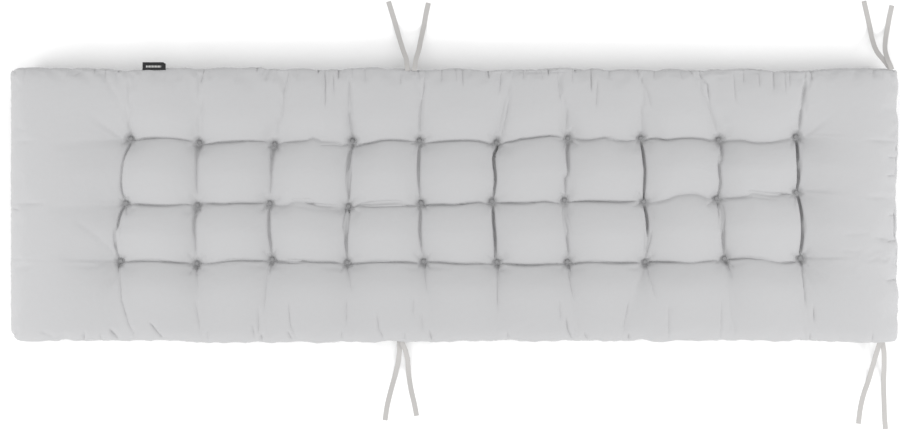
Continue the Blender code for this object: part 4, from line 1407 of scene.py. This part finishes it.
def make_cushion(sizes):
    """The filled cover."""
    columns = {face: column_lines(sizes, face) for face in (TOP, UNDER)}
    rows = {face: row_lines(sizes, face) for face in (TOP, UNDER)}
    grids = {face: cloth_grid(sizes, columns[face], rows[face], face) for face in (TOP, UNDER)}
    flats = {face: flat_grid(sizes, columns[face], rows[face], face) for face in (TOP, UNDER)}
    grids[UNDER] = meet_rim(grids[UNDER], grids[TOP])
    pushed = fill_with_pressure(sizes, grids)
    grids = {face: grids[face] + pushed[face] for face in (TOP, UNDER)}
    presses = {face: all_presses(sizes, face) for face in (TOP, UNDER)}
    skin = sewn_skin(grids, flats)
    split_across(skin, presses)
    mesh_data, places, flat = finished_mesh("cushion_cover", skin)
    depths = press_depths(places, flat, presses)
    tuft = tuft_distance(sizes, places[:, None, :2])[:, 0]
    off_tufts = smoothstep((tuft - TUFT_CLEAR[0]) / TUFT_CLEAR[1])
    off_floor = smoothstep((places[:, 2] - FLOOR_CLEAR[0]) / FLOOR_CLEAR[1])
    depths *= np.where(flat[:, 2] >= 0.5, off_tufts, off_floor)
    normals = np.zeros(len(places) * 3)
    mesh_data.vertex_normals.foreach_get("vector", normals)
    places -= normals.reshape(-1, 3) * depths[:, None]
    places[:, 2] = np.maximum(places[:, 2], 0.0)
    mesh_data.vertices.foreach_set("co", places.ravel())
    mesh_data.update()
    lay_flat(mesh_data, flat[:, :2])
    return mesh_data


# Each soft light's place, the point that it is aimed at and its panel's two sides
Lamp = namedtuple("Lamp", "name place aim size")
LAMPS = (
    Lamp("key", (2.6, -0.5, 1.3), (0.8, 0.0, 0.0), (1.1, 0.9)),
    Lamp("fill", (-2.4, -0.4, 1.0), (-0.8, 0.0, 0.0), (1.1, 0.8)),
    Lamp("front", (0.0, -2.3, 2.3), (0.0, 0.0, 0.0), (2.4, 1.0)),
    Lamp("back", (0.0, 2.2, 0.7), (0.0, 0.2, 0.0), (2.4, 0.6)),
)


class LOUNGER_OT_stage(bpy.types.Operator):
    """Lay the floor, hang the lights and set up the camera"""

    bl_idname = "lounger.stage"
    bl_label = "Stage"

    def execute(self, context):
        sizes = context.scene.lounger_stage
        scene = context.scene
        scene.view_settings.view_transform = "Standard"
        floor = bmesh.new()
        bmesh.ops.create_grid(floor, x_segments=1, y_segments=1, size=sizes.floor_span / 2)
        show("floor", baked("floor", floor), floor_finish())
        world = bpy.data.worlds.new("sky")
        world.use_nodes = True
        world.node_tree.nodes["Background"].inputs["Color"].default_value = (1.0, 1.0, 1.0, 1.0)
        world.node_tree.nodes["Background"].inputs["Strength"].default_value = sizes.sky
        scene.world = world
        for lamp in LAMPS:
            hang_light(lamp, getattr(sizes, lamp.name + "_power"))
        centre = photo_point((PHOTO_SIZE[0] / 2, PHOTO_SIZE[1] / 2))
        lens = bpy.data.cameras.new("camera")
        lens.lens = sizes.lens
        lens.sensor_width = SENSOR_WIDTH
        height = context.scene.lounger_cushion.pit_level + camera_distance(sizes)
        camera = bpy.data.objects.new("camera", lens)
        camera.location = (*centre, height)
        scene.collection.objects.link(camera)
        scene.camera = camera
        return {"FINISHED"}


def camera_distance(stage):
    """How far above the tufts the camera stands, so that it sees the photograph's frame."""
    return stage.lens / SENSOR_WIDTH * PHOTO_SIZE[0] * PHOTO_SCALE


def hang_light(lamp, power):
    """A soft panel light, aimed at a point."""
    panel = bpy.data.lights.new(lamp.name, "AREA")
    panel.shape = "RECTANGLE"
    panel.size, panel.size_y = lamp.size
    panel.energy = power
    hung = bpy.data.objects.new(lamp.name, panel)
    hung.location = lamp.place
    hung.rotation_euler = (Vector(lamp.aim) - Vector(lamp.place)).to_track_quat("-Z", "Y").to_euler()
    hung.visible_camera = False
    bpy.context.scene.collection.objects.link(hung)


# The parts of a curve between two of its points, and the step, the strips, the gap to the floor and
# the rounded share of the edge of a tape
CURVE_PARTS = 16
TAPE_STEP = 0.006
TAPE_STRIPS = 6
TAPE_GAP = 0.0002
TAPE_ROUNDED = 0.35


def smooth_line(points, step):
    """Points at an even step along a smooth curve through the given points."""
    ends = [points[0] * 2 - points[1]] + points + [points[-1] * 2 - points[-2]]
    dense = []
    for before, start, end, after in zip(ends, ends[1:], ends[2:], ends[3:]):
        for part in range(CURVE_PARTS):
            t = part / CURVE_PARTS
            bend = (before * -1 + start * 3 - end * 3 + after) * t ** 3
            turn = (before * 2 - start * 5 + end * 4 - after) * t ** 2
            dense.append((start * 2 + (end - before) * t + turn + bend) / 2)
    dense.append(points[-1])
    lengths = [0.0]
    for start, end in zip(dense, dense[1:]):
        lengths.append(lengths[-1] + (end - start).length)
    count = max(2, round(lengths[-1] / step))
    line = []
    reached = 0
    for part in range(count + 1):
        wanted = lengths[-1] * part / count
        while reached < len(dense) - 2 and lengths[reached + 1] < wanted:
            reached += 1
        span = lengths[reached + 1] - lengths[reached]
        line.append(dense[reached].lerp(dense[reached + 1], (wanted - lengths[reached]) / span))
    return line, lengths[-1]


def as_photographed(point, stage, cushion):
    """A table's point, moved outwards for its depth below the tufts, as the camera looks past them."""
    place = Vector(point) * MM
    centre = photo_point((PHOTO_SIZE[0] / 2, PHOTO_SIZE[1] / 2))
    share = max(cushion.pit_level - place.z, 0.0) / camera_distance(stage)
    return place + Vector((place.x - centre[0], place.y - centre[1], 0.0)) * share


def tape_mesh(tape, sizes):
    """One flat tape along its route, as a strip of cloth with its thickness."""
    scene = bpy.context.scene
    line, length = smooth_line([as_photographed(point, scene.lounger_stage, scene.lounger_cushion)
                                for point in tape.points], TAPE_STEP)
    count = len(line) - 1
    strip = bmesh.new()
    made = bmesh.ops.create_grid(strip, x_segments=count, y_segments=TAPE_STRIPS, size=0.5)
    flat = {}
    for vertex in made["verts"]:
        index = round((vertex.co.x + 0.5) * count)
        side = vertex.co.y * sizes.tape_width
        ahead = line[min(index + 1, count)] - line[max(index - 1, 0)]
        across = Vector((-ahead.y, ahead.x, 0.0)).normalized()
        up = ahead.cross(across).normalized()
        if up.z < 0:
            up.negate()
        centre = line[index].copy()
        centre.z = max(centre.z, sizes.tape_thickness / 2 + TAPE_GAP)
        vertex.co = centre + across * side + up * (sizes.tape_thickness / 2)
        flat[vertex.index] = (index / count * length, side)
    bmesh.ops.recalc_face_normals(strip, faces=strip.faces)
    mesh_data = baked(tape.name, strip)
    lay_flat(mesh_data, np.array([flat[index] for index in range(len(flat))]))
    return mesh_data, line, length


class LOUNGER_OT_ties(bpy.types.Operator):
    """Make the eight tie tapes"""

    bl_idname = "lounger.ties"
    bl_label = "Tie tapes"

    def execute(self, context):
        sizes = context.scene.lounger_trim
        finish = cloth_finish("tape_cloth", sizes.tape_colour, 0.0008, 0.85, 0.1, 0.04)
        for tape in TAPES:
            mesh_data, line, length = tape_mesh(tape, sizes)
            piece = show(tape.name + "_cloth", mesh_data, finish)
            wall = piece.modifiers.new("thickness", "SOLIDIFY")
            wall.thickness = sizes.tape_thickness
            wall.offset = -1
            edge = piece.modifiers.new("edge", "BEVEL")
            edge.width = sizes.tape_thickness * TAPE_ROUNDED
            edge.segments = 2
            declare(piece, tape.name)
        return {"FINISHED"}


class LOUNGER_OT_cushion(bpy.types.Operator):
    """Make the filled cover"""

    bl_idname = "lounger.cushion"
    bl_label = "Cushion"

    def execute(self, context):
        sizes = context.scene.lounger_cushion
        finish = cloth_finish("cover_cloth", sizes.colour, 0.0007, 0.86, 0.15, 0.015)
        piece = show("cushion_cover", make_cushion(sizes), finish)
        declare(piece, "cushion")
        return {"FINISHED"}


# A knot's pleats and the sunken middle of its top, as shares of its radius
KNOT_PLEATS = 7
KNOT_PLEAT_DEPTH = 0.07
KNOT_SUNK = 0.22
KNOT_SUNK_RADIUS = 0.3


class LOUNGER_OT_knots(bpy.types.Operator):
    """Make the cloth knots at the bottom of the tufts"""

    bl_idname = "lounger.knots"
    bl_label = "Tuft knots"

    def execute(self, context):
        sizes = context.scene.lounger_trim
        # The knot colour holds painted shade of the pits as well as the thread's own darker tone
        finish = cloth_finish("knot_cloth", sizes.knot_colour, 0.0007, 0.88, 0.1, 0.03)
        chance = random.Random(SEED)
        for name in tuft_points(context.scene.lounger_cushion):
            node = "tuft_button_" + name
            low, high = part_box(node)
            centre = (low + high) / 2
            half = (high - low) / 2
            knot = bmesh.new()
            bmesh.ops.create_uvsphere(knot, u_segments=28, v_segments=12, radius=1.0)
            turn = chance.uniform(0, math.tau)
            for vertex in knot.verts:
                angle = math.atan2(vertex.co.y, vertex.co.x)
                flat = math.hypot(vertex.co.x, vertex.co.y)
                pleat = 1 - KNOT_PLEAT_DEPTH * flat * (1 + math.cos(KNOT_PLEATS * angle + turn))
                sunk = KNOT_SUNK * math.exp(-(flat / KNOT_SUNK_RADIUS) ** 2) if vertex.co.z > 0 else 0.0
                vertex.co = Vector((vertex.co.x * pleat * half.x, vertex.co.y * pleat * half.y,
                                    (vertex.co.z - sunk) * half.z)) + centre
            mesh_data = baked(node, knot)
            mesh_data.shade_smooth()
            lay_flat(mesh_data, vertex_places(mesh_data)[:, :2])
            piece = show("knot_" + name, mesh_data, finish)
            declare(piece, node)
        return {"FINISHED"}


# How far the label stands to the right of its solid, its thickness, how far its free edge droops, and
# how much and where its right corner is drawn in
LABEL_SHIFT = 0.0026
LABEL_THICKNESS = 0.0012
LABEL_DROOP = 0.0022
LABEL_CUT = 0.003
LABEL_CUT_FROM = 0.88


class LOUNGER_OT_label(bpy.types.Operator):
    """Make the folded side label"""

    bl_idname = "lounger.label"
    bl_label = "Side label"

    def execute(self, context):
        sizes = context.scene.lounger_trim
        low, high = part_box("label")
        tag = bmesh.new()
        bmesh.ops.create_grid(tag, x_segments=24, y_segments=10, size=0.5)
        flat = {}
        for vertex in tag.verts:
            along = vertex.co.x + 0.5
            out = vertex.co.y + 0.5
            cut = LABEL_CUT * smoothstep((along - LABEL_CUT_FROM) / (1 - LABEL_CUT_FROM)) * out
            x = low.x + LABEL_SHIFT + (high.x - low.x) * along
            y = low.y + (high.y - low.y) * out - cut
            vertex.co = Vector((x, y, high.z - LABEL_DROOP * out * out))
            flat[vertex.index] = ((high.x - low.x) * along, (high.y - low.y) * out)
        bmesh.ops.recalc_face_normals(tag, faces=tag.faces)
        mesh_data = baked("label_fold", tag)
        mesh_data.shade_smooth()
        lay_flat(mesh_data, np.array([flat[index] for index in range(len(flat))]))
        piece = show("label_fold", mesh_data, label_finish(sizes))
        wall = piece.modifiers.new("thickness", "SOLIDIFY")
        wall.thickness = LABEL_THICKNESS
        wall.offset = -1
        declare(piece, "label")
        return {"FINISHED"}


class LOUNGER_PT_sidebar(bpy.types.Panel):
    """The cushion's tools, in the order in which they run"""

    bl_idname = "LOUNGER_PT_sidebar"
    bl_label = "Lounger cushion"
    bl_space_type = "VIEW_3D"
    bl_region_type = "UI"
    bl_category = "Lounger cushion"

    def draw(self, context):
        for operator in OPERATORS:
            self.layout.operator(operator.bl_idname)


OPERATORS = (LOUNGER_OT_stage, LOUNGER_OT_ties, LOUNGER_OT_cushion, LOUNGER_OT_knots, LOUNGER_OT_label)
GROUPS = (CushionSizes, TrimSizes, StageSizes)


def register():
    """Register the classes and hang their settings on the scene."""
    for part in GROUPS + OPERATORS + (LOUNGER_PT_sidebar,):
        bpy.utils.register_class(part)
    bpy.types.Scene.lounger_cushion = bpy.props.PointerProperty(type=CushionSizes)
    bpy.types.Scene.lounger_trim = bpy.props.PointerProperty(type=TrimSizes)
    bpy.types.Scene.lounger_stage = bpy.props.PointerProperty(type=StageSizes)


def unregister():
    """Take the settings and the classes away again."""
    del bpy.types.Scene.lounger_cushion
    del bpy.types.Scene.lounger_trim
    del bpy.types.Scene.lounger_stage
    for part in reversed(GROUPS + OPERATORS + (LOUNGER_PT_sidebar,)):
        bpy.utils.unregister_class(part)


def main():
    """Make every piece in order."""
    register()
    bpy.ops.lounger.stage()
    bpy.ops.lounger.ties()
    bpy.ops.lounger.cushion()
    bpy.ops.lounger.knots()
    bpy.ops.lounger.label()


if __name__ == "__main__":
    main()
